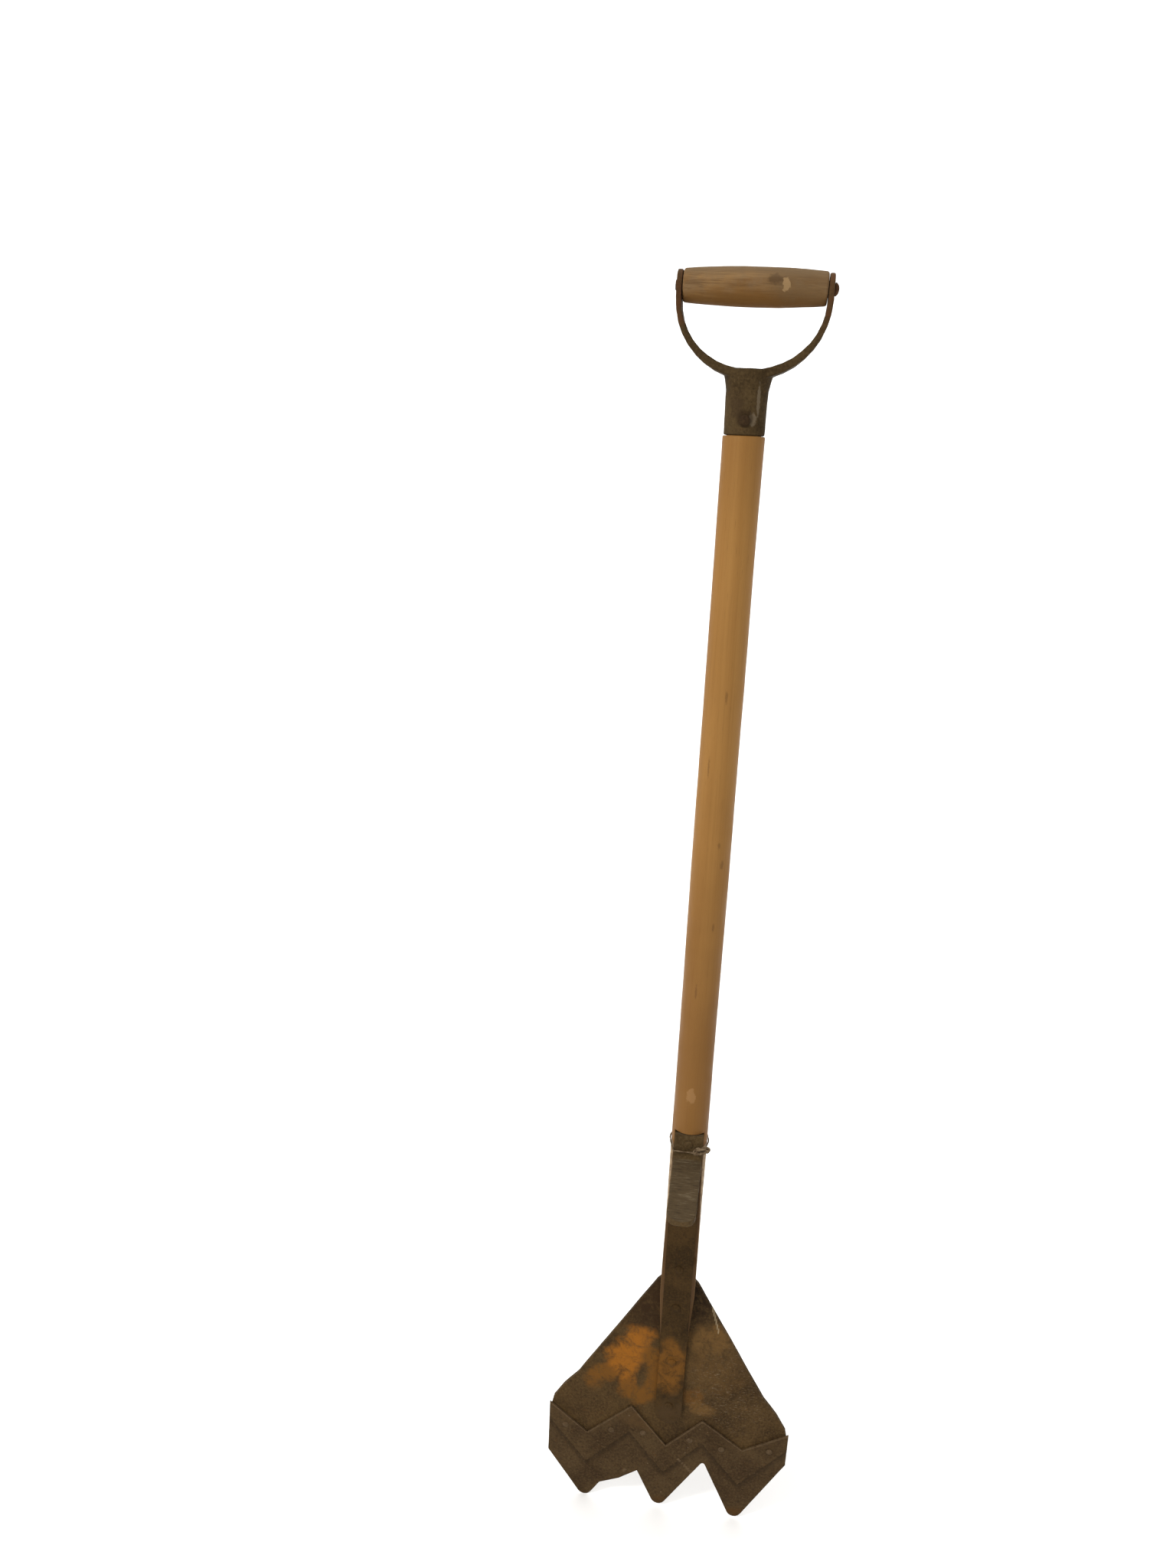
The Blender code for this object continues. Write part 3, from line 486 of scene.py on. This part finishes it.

# %% [markdown]
# The grip is the same sort of wood without its varnish: bare, gripped and rained on, it has gone grey-tan
# on top, and the lower front of the barrel is painted a darker gold as painted shade. The grain runs along
# the barrel, so the noise is drawn out along X here. One dark stain with a pale chip beside it sits right of
# the middle.

# %% Grip wood
def grip_wood():
    wood = Finish("grip_weathered_and_painted_shade")
    bands = wood.noise(1.0, wood.stretch((7, 95, 95)), 5.0, 0.6, 1.2)
    fibres = wood.noise(1.0, wood.stretch((30, 1000, 1000)), 3.0, 0.65)
    blotch = wood.noise(70.0, detail=6.0, rough=0.65)
    colour = wood.blend(wood.ramp(bands, 0.3, 0.7), rgb(0.140, 0.070, 0.023), rgb(0.208, 0.118, 0.046))
    colour = wood.blend(wood.ramp(blotch, 0.40, 0.64, 0.0, 0.6), colour, rgb(0.150, 0.098, 0.052))
    colour = wood.blend(wood.ramp(fibres, 0.45, 0.72, 0.0, 0.45), colour, rgb(0.070, 0.036, 0.013))
    streaks = wood.noise(1.0, wood.stretch((26, 330, 330), (5, 2, 9)), 5.0, 0.7, 0.8)
    colour = wood.blend(wood.ramp(streaks, 0.50, 0.66, 0.0, 0.50), colour, rgb(0.088, 0.046, 0.017))
    colour = wood.blend(wood.ramp(streaks, 0.44, 0.30, 0.0, 0.35), colour, rgb(0.230, 0.140, 0.062))
    # Painted shade: the lower front of the barrel is painted a darker gold.
    underside_shade = wood.patch((0, rod_at.y - 0.006, rod_at.z - 0.017), (0.080, 0.034, 0.0125), 0.25, 60.0, 0.9)
    colour = wood.blend(wood.sums("MULTIPLY", underside_shade, 0.85), colour, rgb(0.118, 0.052, 0.010))
    greyed = wood.patch((0.036, rod_at.y - 0.010, rod_at.z + 0.002), (0.026, 0.03, 0.014), 0.8, 70.0, 0.9)
    colour = wood.blend(wood.sums("MULTIPLY", greyed, 0.55), colour, rgb(0.098, 0.062, 0.030))
    stain_at = (0.0165, rod_at.y - 0.013, rod_at.z + 0.0045)
    stain = wood.patch(stain_at, (0.0060, 0.012, 0.0040), 1.0, 230.0, 0.7)
    colour = wood.blend(wood.sums("MULTIPLY", stain, 0.65), colour, rgb(0.055, 0.030, 0.013))
    chip_at = (0.0245, rod_at.y - 0.014, rod_at.z + 0.0008)
    chip = wood.patch(chip_at, (0.0030, 0.012, 0.0052), 0.9, 330.0, 0.25)
    colour = wood.blend(wood.sums("MULTIPLY", chip, 0.8), colour, rgb(0.245, 0.155, 0.072))
    nicks = wood.ramp(wood.noise(520.0, detail=2.0), 0.70, 0.76, 0.0, 0.5)
    colour = wood.blend(wood.sums("MULTIPLY", nicks, greyed), colour, rgb(0.22, 0.145, 0.075))
    above = wood.ramp(wood.facing("Z"), 0.25, 0.85, 0.0, 0.75)
    colour = wood.blend(above, colour, rgb(0.105, 0.066, 0.031))
    relief = wood.bump(fibres, 0.0002, 0.8, wood.bump(blotch, 0.0002, 0.4))
    rough = wood.ramp(blotch, 0.3, 0.7, 0.62, 0.78)
    return wood.set(0.08, Base_Color=colour, Roughness=rough, Normal=relief)


grip = fine_copy("grip", "barrel_grip", 0.0005, (0.0035, None, None))
roughen(grip, [(0.03, 0.00035), (0.008, 0.0001)], 2)
finish_surface(grip, grip_wood(), 40)
place(grip, "grip", "grip_wood", "grip")

# %% [markdown]
# The D, its socket and the blade are iron that has been rusting slowly in a shed for decades. That patina
# is not one brown: a dark skin, a lighter dusty bloom over it, fine black pits, and orange wherever wet
# earth sat. One function builds it, with the shade of the skin, the strength of the bloom and a list of
# orange patches.

# %% Iron patina
def patina(name, dark, middle, dusty, patches=(), dust=0.5, extra=None):
    iron = Finish(name)
    cloud = iron.noise(26.0, detail=6.0, rough=0.6)
    grain = iron.noise(420.0, detail=5.0, rough=0.7)
    pits = iron.noise(1150.0, detail=3.0, rough=0.6)
    colour = iron.blend(iron.ramp(cloud, 0.34, 0.64), dark, middle)
    colour = iron.blend(iron.ramp(grain, 0.46, 0.72, 0.0, dust), colour, dusty)
    deepest = rgb(*[0.5 * part for part in dark[:3]])
    colour = iron.blend(iron.ramp(grain, 0.50, 0.30, 0.0, 0.6), colour, deepest)
    rust_speck = iron.ramp(iron.noise(150.0, detail=6.0, rough=0.7), 0.60, 0.74, 0.0, 0.5)
    colour = iron.blend(rust_speck, colour, rgb(0.095, 0.040, 0.010))
    for centre, radii, shade, share in patches:
        blot = iron.patch(centre, radii, 0.85, 75.0, 0.95)
        broken = iron.ramp(iron.noise(85.0, detail=9.0, rough=0.78, twist=0.6), 0.36, 0.58, 0.22, 1.0)
        colour = iron.blend(iron.sums("MULTIPLY", iron.sums("MULTIPLY", blot, broken), share), colour, shade)
    if extra:
        colour = extra(iron, colour)
    rough = iron.ramp(grain, 0.3, 0.7, 0.60, 0.80)
    relief = iron.bump(grain, 0.00022, 0.55, iron.bump(pits, 0.00010, 0.5))
    return iron.set(0.055, Base_Color=colour, Metallic=0.0, Roughness=rough, Normal=relief)


SKIN_DARK = rgb(0.034, 0.019, 0.007)
SKIN = rgb(0.060, 0.034, 0.012)
DUST = rgb(0.096, 0.060, 0.025)
print("patina: skin, dust, pits and rust")


# %% [markdown]
# The D and its socket are one casting. Cast iron has no sharp inside corners: the arms flow into the
# socket. A voxel remesh of the solid followed by smoothing melts the joints together as a sand mould
# would, which a bevel can't do where a flat band meets a cone. The eyes round the rod have rusted redder
# than the rest, and the scratch down the socket is brighter bare iron beside a half sunk rivet, with
# painted shade round it for its dimple.

# %% The D yoke
def cast_copy(node, name, voxel, rounds):
    obj = new_object(name, welded(node))
    remesh = obj.modifiers.new("mould", "REMESH")
    remesh.mode = "VOXEL"
    remesh.voxel_size = voxel
    soften = obj.modifiers.new("soften", "SMOOTH")
    soften.factor = 0.5
    soften.iterations = rounds
    apply_modifiers(obj)
    print("%s: %d points" % (name, len(obj.data.vertices)))
    return obj


rivet_low, rivet_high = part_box("yoke_rivet")
rivet_z = (rivet_low.z + rivet_high.z) / 2
SOCKET_FRONT = axis_y - shaft_r


def socket_marks(iron, colour):
    line = iron.patch((0.0100, SOCKET_FRONT, rivet_z + 0.016), (0.0013, 0.02, 0.012), 0.8, 420.0, 0.5)
    tail = iron.patch((0.0065, SOCKET_FRONT, rivet_z + 0.001), (0.0028, 0.02, 0.0050), 0.9, 420.0, 0.5)
    scratch = iron.sums("MULTIPLY", iron.most([line, tail]), 0.6)
    colour = iron.blend(scratch, colour, rgb(0.150, 0.115, 0.075))
    # Painted shade: a dark disc round the rivet stands for the shade in its dimple.
    dimple_shade = iron.patch((0, SOCKET_FRONT, rivet_z + 0.0015), (0.0068, 0.02, 0.0068), 0.15, 200.0, 0.35)
    colour = iron.blend(iron.sums("MULTIPLY", dimple_shade, 0.6), colour, rgb(0.022, 0.012, 0.005))
    scab = iron.patch((-0.007, SOCKET_FRONT, rivet_z + 0.010), (0.0052, 0.02, 0.0085), 0.8, 200.0, 0.6)
    return iron.blend(iron.sums("MULTIPLY", scab, 0.5), colour, rgb(0.030, 0.017, 0.008))


EYE_RUST = rgb(0.072, 0.030, 0.012)
EYE_SIDE = 0.060
eye_patches = [((side * EYE_SIDE, rod_at.y, rod_at.z - 0.002), (0.012, 0.04, 0.026), EYE_RUST, 0.9)
               for side in (-1, 1)]
yoke_finish = patina("yoke_casting", rgb(0.035, 0.021, 0.008), rgb(0.056, 0.035, 0.014),
                     rgb(0.090, 0.060, 0.027), eye_patches, 0.45, socket_marks)
yoke = cast_copy("d_yoke", "cast_yoke", 0.0008, 4)
roughen(yoke, [(0.014, 0.00022), (0.004, 0.00010)], 3)
finish_surface(yoke, yoke_finish, 60)
place(yoke, "tool", "yoke_iron", "d_yoke")

# %% [markdown]
# The rod through the grip and the rivet through the socket are small forged pieces. Their heads are turned
# domes in the frame, so only a hammered skin is added. The rod's head is red with rust, and the socket's
# rivet is as dark as the painted shade round it.

# %% Rod and yoke rivet
rod_finish = patina("forged_rod", rgb(0.030, 0.014, 0.006), rgb(0.062, 0.027, 0.011),
                    rgb(0.088, 0.045, 0.020))
dark_finish = patina("dark_rivet", rgb(0.020, 0.011, 0.005), rgb(0.032, 0.018, 0.008),
                     rgb(0.055, 0.034, 0.016))
for node, seed, finish in (("grip_rod", 4, rod_finish), ("yoke_rivet", 5, dark_finish)):
    fastener = fine_copy(node, "forged_" + node, 0.0004, (0.004, 0.004, None))
    roughen(fastener, [(0.004, 0.00018)], seed)
    finish_surface(fastener, finish, 40)
    place(fastener, "tool", "yoke_iron", node)

# %% [markdown]
# The blade body is a plate with its strap running up behind the shaft. Its face carries the story of the
# tool: oily dark iron under the left shoulder, a broken band of orange rust left of the tongue, a tan
# bloom to the right with a thin bright scratch above it. Right of the shaft at the shoulder a near-black
# spot is a painted shadow, the one the shaft casts on the blade. Each patch is given by where it lies on the
# blade, sideways from the middle and up from the tooth tips, and its noise leaves its rim ragged.

# %% Blade face
ORANGE = rgb(0.232, 0.084, 0.010)
OCHRE = rgb(0.125, 0.052, 0.009)
TAN = rgb(0.110, 0.058, 0.018)
OILY = rgb(0.026, 0.013, 0.005)
# Painted shadow: the near-black that the shaft casts on the blade to its right.
SHAFT_SHADOW = rgb(0.010, 0.005, 0.002)
FACE_Y = body_low.y


def spot(x, z, half_width, half_height, shade, share):
    return ((x, FACE_Y, z), (half_width, 0.02, half_height), shade, share)


def blade_scratch(iron, colour):
    dashes = [iron.patch((0.0330 + 0.0015 * i, FACE_Y, 0.2780 - 0.0052 * i), (0.0007, 0.02, 0.0038),
                         0.7, 420.0, 0.5) for i in range(9)]
    colour = iron.blend(iron.sums("MULTIPLY", iron.most(dashes), 0.55), colour, rgb(0.30, 0.23, 0.14))
    scrapes = iron.noise(1.0, iron.stretch((260, 260, 1100), (0, 0, 0), (0, 0.7, 0)), 3.0, 0.6)
    right = iron.patch((0.062, FACE_Y, 0.165), (0.042, 0.02, 0.048), 0.5, 40.0, 0.8)
    share = iron.sums("MULTIPLY", iron.ramp(scrapes, 0.58, 0.70, 0.0, 0.7), right)
    return iron.blend(share, colour, rgb(0.150, 0.108, 0.068))


blade_patches = [
    spot(-0.033, 0.262, 0.030, 0.036, OILY, 0.92), spot(0.023, 0.266, 0.011, 0.024, SHAFT_SHADOW, 0.9),
    spot(0.036, 0.224, 0.019, 0.016, TAN, 0.95), spot(0.045, 0.185, 0.030, 0.030, TAN, 0.45),
    spot(-0.035, 0.218, 0.0145, 0.0115, ORANGE, 0.85), spot(-0.043, 0.203, 0.0170, 0.0130, ORANGE, 0.95),
    spot(-0.050, 0.186, 0.0190, 0.0125, ORANGE, 0.95), spot(-0.053, 0.173, 0.0140, 0.0100, ORANGE, 0.90),
    spot(-0.045, 0.161, 0.0090, 0.0110, ORANGE, 0.80), spot(-0.044, 0.147, 0.0100, 0.0110, OCHRE, 0.95),
    spot(-0.071, 0.163, 0.0140, 0.0095, OCHRE, 1.00), spot(-0.081, 0.153, 0.0100, 0.0100, OCHRE, 0.80),
    spot(-0.019, 0.191, 0.0110, 0.0140, OCHRE, 1.00), spot(-0.016, 0.172, 0.0110, 0.0160, OCHRE, 0.95),
    spot(-0.018, 0.153, 0.0130, 0.0130, OCHRE, 0.90), spot(-0.030, 0.139, 0.0140, 0.0100, OCHRE, 0.90),
    spot(0.024, 0.148, 0.012, 0.012, OCHRE, 0.5), spot(0.033, 0.134, 0.013, 0.009, TAN, 0.85)]
blade_finish = patina("blade_skin", SKIN_DARK, SKIN, DUST, blade_patches, 0.55, blade_scratch)
blade = fine_copy("blade_body", "blade_plate", 0.0007, (0.004, None, 0.004))
roughen(blade, [(0.05, 0.0005), (0.012, 0.00018)], 6)
finish_surface(blade, blade_finish)
place(blade, "tool", "blade_iron", "blade_body")

# %% [markdown]
# The tooth plate is the cutter: a steel strip riveted over the body, with its own zigzag top edge and
# bevels ground down to the teeth. Two lines matter on it, the lit top edge and the grinding line where
# the bevels start. Both are found on the plate's own corners, and every point of the finer plate stores
# its distance to them, so that the metal can be ground back, painted shade laid along the grinding line
# and a painted highlight along the top edge.

# %% Lines of the tooth plate
def plate_lines():
    """The plate's top edge and its bevel line, each left to right as (x, z)."""
    plate_bm = welded("tooth_plate")
    plate_bm.normal_update()
    front = plate_low.y
    top, bevel = [], []
    for vert in plate_bm.verts:
        if vert.co.y > front + 1e-5:
            continue
        if any(face.normal.z > 0.3 and abs(face.normal.y) < 0.5 and face.calc_area() > 5e-5
               for face in vert.link_faces):
            top.append((vert.co.x, vert.co.z))
        elif any(face.normal.y < -0.9 and face.normal.z < -0.01 for face in vert.link_faces):
            bevel.append((vert.co.x, vert.co.z))
    return sorted(top), sorted(bevel)


def line_distance(line, x, z):
    """Distance from (x, z) to a polyline, positive above it."""
    best, above = 1.0, 1.0
    for (x0, z0), (x1, z1) in zip(line, line[1:]):
        along = Vector((x1 - x0, z1 - z0))
        offset = Vector((x - x0, z - z0))
        share = min(max(offset.dot(along) / along.length_squared, 0.0), 1.0)
        gap = (offset - along * share).length
        if gap < best:
            best, above = gap, math.copysign(1.0, along.x * offset.y - along.y * offset.x)
    return best * above


top_line, bevel_line = plate_lines()
print("top edge has %d corners, bevel line %d" % (len(top_line), len(bevel_line)))

# %% [markdown]
# The grinding line gets a real step: everything below it is set back by a third of a millimetre over a
# short slope, which catches the light along the teeth. Digging has kept this plate browner and cleaner
# than the body.

# %% Tooth plate
GROUND_BACK = 0.00035
BEVEL_SLOPE = 0.0015
plate = fine_copy("tooth_plate", "tooth_cutter", 0.0004, (0.0024, None, 0.0024))
bevel_gap = plate.data.attributes.new("bevel_gap", "FLOAT", "POINT")
rim_gap = plate.data.attributes.new("rim_gap", "FLOAT", "POINT")
plate_mid = (plate_low.y + plate_high.y) / 2
for vert in plate.data.vertices:
    to_bevel = line_distance(bevel_line, vert.co.x, vert.co.z)
    bevel_gap.data[vert.index].value = to_bevel
    rim_gap.data[vert.index].value = line_distance(top_line, vert.co.x, vert.co.z)
    if vert.co.y < plate_mid and to_bevel < 0:
        vert.co.y += GROUND_BACK * min(1.0, -to_bevel / BEVEL_SLOPE)


def plate_marks(iron, colour):
    to_bevel = iron.attribute("bevel_gap")
    to_rim = iron.attribute("rim_gap")
    broken = iron.ramp(iron.noise(260.0, detail=5.0, rough=0.7), 0.34, 0.60, 0.35, 1.0)
    # Painted shade: a dark band along the grinding line.
    below = iron.ramp(to_bevel, -0.0075, 0.0002)
    above = iron.ramp(to_bevel, 0.0018, 0.0004)
    bevel_shade = iron.sums("MULTIPLY", iron.sums("MULTIPLY", below, above), broken)
    colour = iron.blend(iron.sums("MULTIPLY", bevel_shade, 0.75), colour, rgb(0.020, 0.011, 0.004))
    # Painted highlight: a pale line just below the plate's top edge.
    painted_highlight = iron.sums("MULTIPLY", iron.ramp(to_rim, -0.0018, -0.0004), broken)
    colour = iron.blend(iron.sums("MULTIPLY", painted_highlight, 0.55), colour, rgb(0.125, 0.082, 0.045))
    flecks = iron.ramp(iron.noise(300.0, detail=3.0, rough=0.5), 0.70, 0.76, 0.0, 0.5)
    return iron.blend(flecks, colour, rgb(0.150, 0.112, 0.070))


plate_patches = [spot(0.081, 0.006, 0.014, 0.008, rgb(0.070, 0.032, 0.008), 0.8),
                 spot(-0.0005, 0.005, 0.012, 0.007, rgb(0.070, 0.034, 0.010), 0.6),
                 spot(-0.028, 0.110, 0.020, 0.010, rgb(0.075, 0.040, 0.014), 0.6)]
plate_finish = patina("tooth_steel", rgb(0.036, 0.020, 0.008), rgb(0.057, 0.034, 0.014),
                      rgb(0.088, 0.057, 0.027), plate_patches, 0.5, plate_marks)
roughen(plate, [(0.03, 0.0002), (0.006, 0.00010)], 7)
finish_surface(plate, plate_finish, 30)
place(plate, "tool", "blade_iron", "tooth_plate")

# %% [markdown]
# The front strap runs from the notch down the shaft and ends as a round tongue on the blade. It is the
# darkest iron on the tool, except for its last third, where the orange of the blade creeps across it.

# %% Front strap
tongue_z = strap_low.z
strap_patches = [
    ((0.000, FACE_Y, tongue_z + 0.075), (0.017, 0.03, 0.024), OCHRE, 0.9),
    ((-0.005, FACE_Y, tongue_z + 0.062), (0.013, 0.03, 0.022), OCHRE, 1.0),
    ((0.001, FACE_Y, tongue_z + 0.092), (0.008, 0.03, 0.011), OCHRE, 0.9),
    ((-0.004, FACE_Y, tongue_z + 0.102), (0.007, 0.03, 0.009), OCHRE, 0.7),
    ((0.003, FACE_Y, tongue_z + 0.014), (0.016, 0.03, 0.020), rgb(0.050, 0.029, 0.012), 0.8)]
strap_finish = patina("strap_skin", rgb(0.024, 0.013, 0.004), rgb(0.043, 0.023, 0.007),
                      rgb(0.070, 0.042, 0.015), strap_patches, 0.4)
strap = fine_copy("front_strap", "strap_and_tongue", 0.0008, (0.0035, None, 0.004))
roughen(strap, [(0.03, 0.0003), (0.007, 0.00015)], 8)
finish_surface(strap, strap_finish)
place(strap, "tool", "blade_iron", "front_strap")

# %% [markdown]
# Iron that faces up is painted a grey-brown as if lit from above, while the leg stays dark. The tread's
# ridges are painted as lines, a noise drawn out from side to side: painted highlights on the ridges and
# painted shade between them. They only appear where the iron faces up.

# %% Foot step
def tread_painted_light(iron, colour):
    # Painted light: iron that faces up is painted grey-brown, as if lit from above.
    up = iron.ramp(iron.facing("Z"), 0.45, 0.85)
    lines = iron.noise(1.0, iron.stretch((75, 640, 640)), 4.0, 0.65)
    colour = iron.blend(iron.sums("MULTIPLY", up, 0.75), colour, rgb(0.056, 0.039, 0.021))
    # Painted highlight on the tread ridges, and below it painted shade between them.
    ridge_highlight = iron.sums("MULTIPLY", iron.ramp(lines, 0.53, 0.70, 0.0, 0.7), up)
    colour = iron.blend(ridge_highlight, colour, rgb(0.118, 0.090, 0.054))
    ridge_shade = iron.sums("MULTIPLY", iron.ramp(lines, 0.46, 0.32, 0.0, 0.7), up)
    return iron.blend(ridge_shade, colour, rgb(0.030, 0.020, 0.011))


step_finish = patina("step_patina_and_painted_light", rgb(0.053, 0.032, 0.013), rgb(0.085, 0.053, 0.021),
                     rgb(0.105, 0.074, 0.038), dust=0.5, extra=tread_painted_light)
step = cast_copy("foot_step", "forged_step", 0.0007, 3)
roughen(step, [(0.012, 0.0003), (0.004, 0.00014)], 9)
finish_surface(step, step_finish, 60)
place(step, "tool", "step_iron", "foot_step")

# %% [markdown]
# The small rivets were closed with a hammer and have rusted into their holes. Each head gets a few random
# flats and the same skin as the iron it sits in, so that it shows by its edge and not by its colour. A
# seed for every rivet keeps them all different and keeps every run the same.

# %% Rivets
small_rivets = sorted(name for name in frame["nodes"] if "_rivet" in name and name != "yoke_rivet")
for seed, node in enumerate(small_rivets, 20):
    head = fine_copy(node, "hammered_" + node, 0.0003, (None, None, None))
    roughen(head, [(0.004, 0.00022)], seed)
    skin = {"tooth": plate_finish, "strap": strap_finish, "tongue": strap_finish, "step": step_finish}
    finish_surface(head, skin[node.split("_")[0]], 40)
    place(head, "tool", "blade_iron", node)

# %% [markdown]
# Somebody once tied twine round the step, and its knot is still there. Twine is two yarns twisted
# together, so each yarn is a curve that winds round the middle of the frame's plain ring. That middle is
# found by sorting the ring's points by their angle round the shaft and averaging each small group.

# %% Twine round the shaft
TWINE_TURNS = 34
YARN_R = 0.00048
YARN_OFFSET = 0.00036
SECTION_POINTS = 8
STEPS_PER_GROUP = 8


def ring_middle():
    ring = welded("twine_ring")
    points = [vert.co.copy() for vert in ring.verts]
    points.sort(key=lambda point: math.atan2(point.y - axis_y, point.x))
    groups = [points[i:i + SECTION_POINTS] for i in range(0, len(points), SECTION_POINTS)]
    return [sum(group, Vector()) / len(group) for group in groups if len(group) == SECTION_POINTS]


def tube(name, paths, radius, cyclic, material, resolution=2):
    curve = bpy.data.curves.new(name, "CURVE")
    curve.dimensions = "3D"
    curve.bevel_depth = radius
    curve.bevel_resolution = resolution
    curve.use_fill_caps = True
    for path in paths:
        spline = curve.splines.new("POLY")
        spline.points.add(len(path) - 1)
        for point, place_at in zip(spline.points, path):
            point.co = (*place_at, 1.0)
        spline.use_cyclic_u = cyclic
    curve.materials.append(material)
    obj = bpy.data.objects.new(name, curve)
    scene.collection.objects.link(obj)
    return obj


def twine_fibre():
    fibre = Finish("old_twine")
    strands = fibre.noise(1.0, fibre.stretch((1300, 1300, 1300)), 4.0, 0.7)
    dirt = fibre.noise(300.0, detail=4.0)
    colour = fibre.blend(fibre.ramp(dirt, 0.38, 0.62), rgb(0.060, 0.036, 0.018), rgb(0.150, 0.105, 0.062))
    colour = fibre.blend(fibre.ramp(strands, 0.4, 0.7, 0.0, 0.5), colour, rgb(0.21, 0.155, 0.095))
    return fibre.set(0.1, Base_Color=colour, Roughness=0.95, Normal=fibre.bump(strands, 0.0003, 0.8))


middle = ring_middle()
yarn_paths = []
for phase in (0.0, math.pi):
    path = []
    for index in range(len(middle) * STEPS_PER_GROUP):
        share = index / (len(middle) * STEPS_PER_GROUP)
        at = share * len(middle)
        here = middle[int(at) % len(middle)].lerp(middle[(int(at) + 1) % len(middle)], at % 1.0)
        out = Vector((here.x, here.y - axis_y, 0)).normalized()
        angle = 2 * math.pi * TWINE_TURNS * share + phase
        up = Vector((0, 0, YARN_OFFSET * math.sin(angle)))
        path.append(here + out * YARN_OFFSET * math.cos(angle) + up)
    yarn_paths.append(path)
twine_finish = twine_fibre()
yarns = tube("twisted_twine", yarn_paths, YARN_R, True, twine_finish)
place(yarns, "tool", "twine", "twine_ring")
print("twine of %d yarns, %d turns" % (len(yarn_paths), TWINE_TURNS))

# %% [markdown]
# The knot is a tight little bundle, longer than it is high, that climbs to the right. A curve that winds
# over and through a lump of the right size reads as a hitch pulled tight, and short stray fibres break up
# its outline.

# %% The knot
random.seed(11)
knot_low, knot_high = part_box("twine_knot")
knot_mid = (knot_low + knot_high) / 2
knot_half = (knot_high - knot_low) / 2
CLIMB = math.radians(20)
KNOT_POINTS = 260
STRAY_FIBRES = 70


def knot_point(t):
    along = math.cos(3 * t) * (0.80 + 0.16 * math.cos(8 * t)) * knot_half.x
    out = math.sin(5 * t) * 0.60 * knot_half.y
    up = math.sin(3 * t + 0.7 * math.sin(2 * t)) * (0.62 + 0.20 * math.sin(7 * t)) * knot_half.z * 0.8
    right = along * math.cos(CLIMB) - up * math.sin(CLIMB)
    rise = along * math.sin(CLIMB) + up * math.cos(CLIMB)
    return knot_mid + Vector((right, out, rise))


knot_path = [knot_point(2 * math.pi * i / KNOT_POINTS) for i in range(KNOT_POINTS)]
hairs = []
for _ in range(STRAY_FIBRES):
    root = knot_point(random.uniform(0, 2 * math.pi))
    lean = Vector((random.gauss(0, 1), random.gauss(-0.3, 0.6), random.gauss(0, 1))).normalized()
    length = random.uniform(0.0010, 0.0034)
    hairs.append([root, root + lean * length * 0.5, root + lean * length + Vector((0, 0, -0.0005))])
knot = tube("pulled_knot", [knot_path], 0.00105, True, twine_finish, 3)
place(knot, "tool", "twine", "twine_knot")
stray = tube("stray_fibres", hairs, 0.00013, False, twine_finish, 1)
place(stray, "tool", "twine")
print("knot with %d stray fibres" % len(hairs))
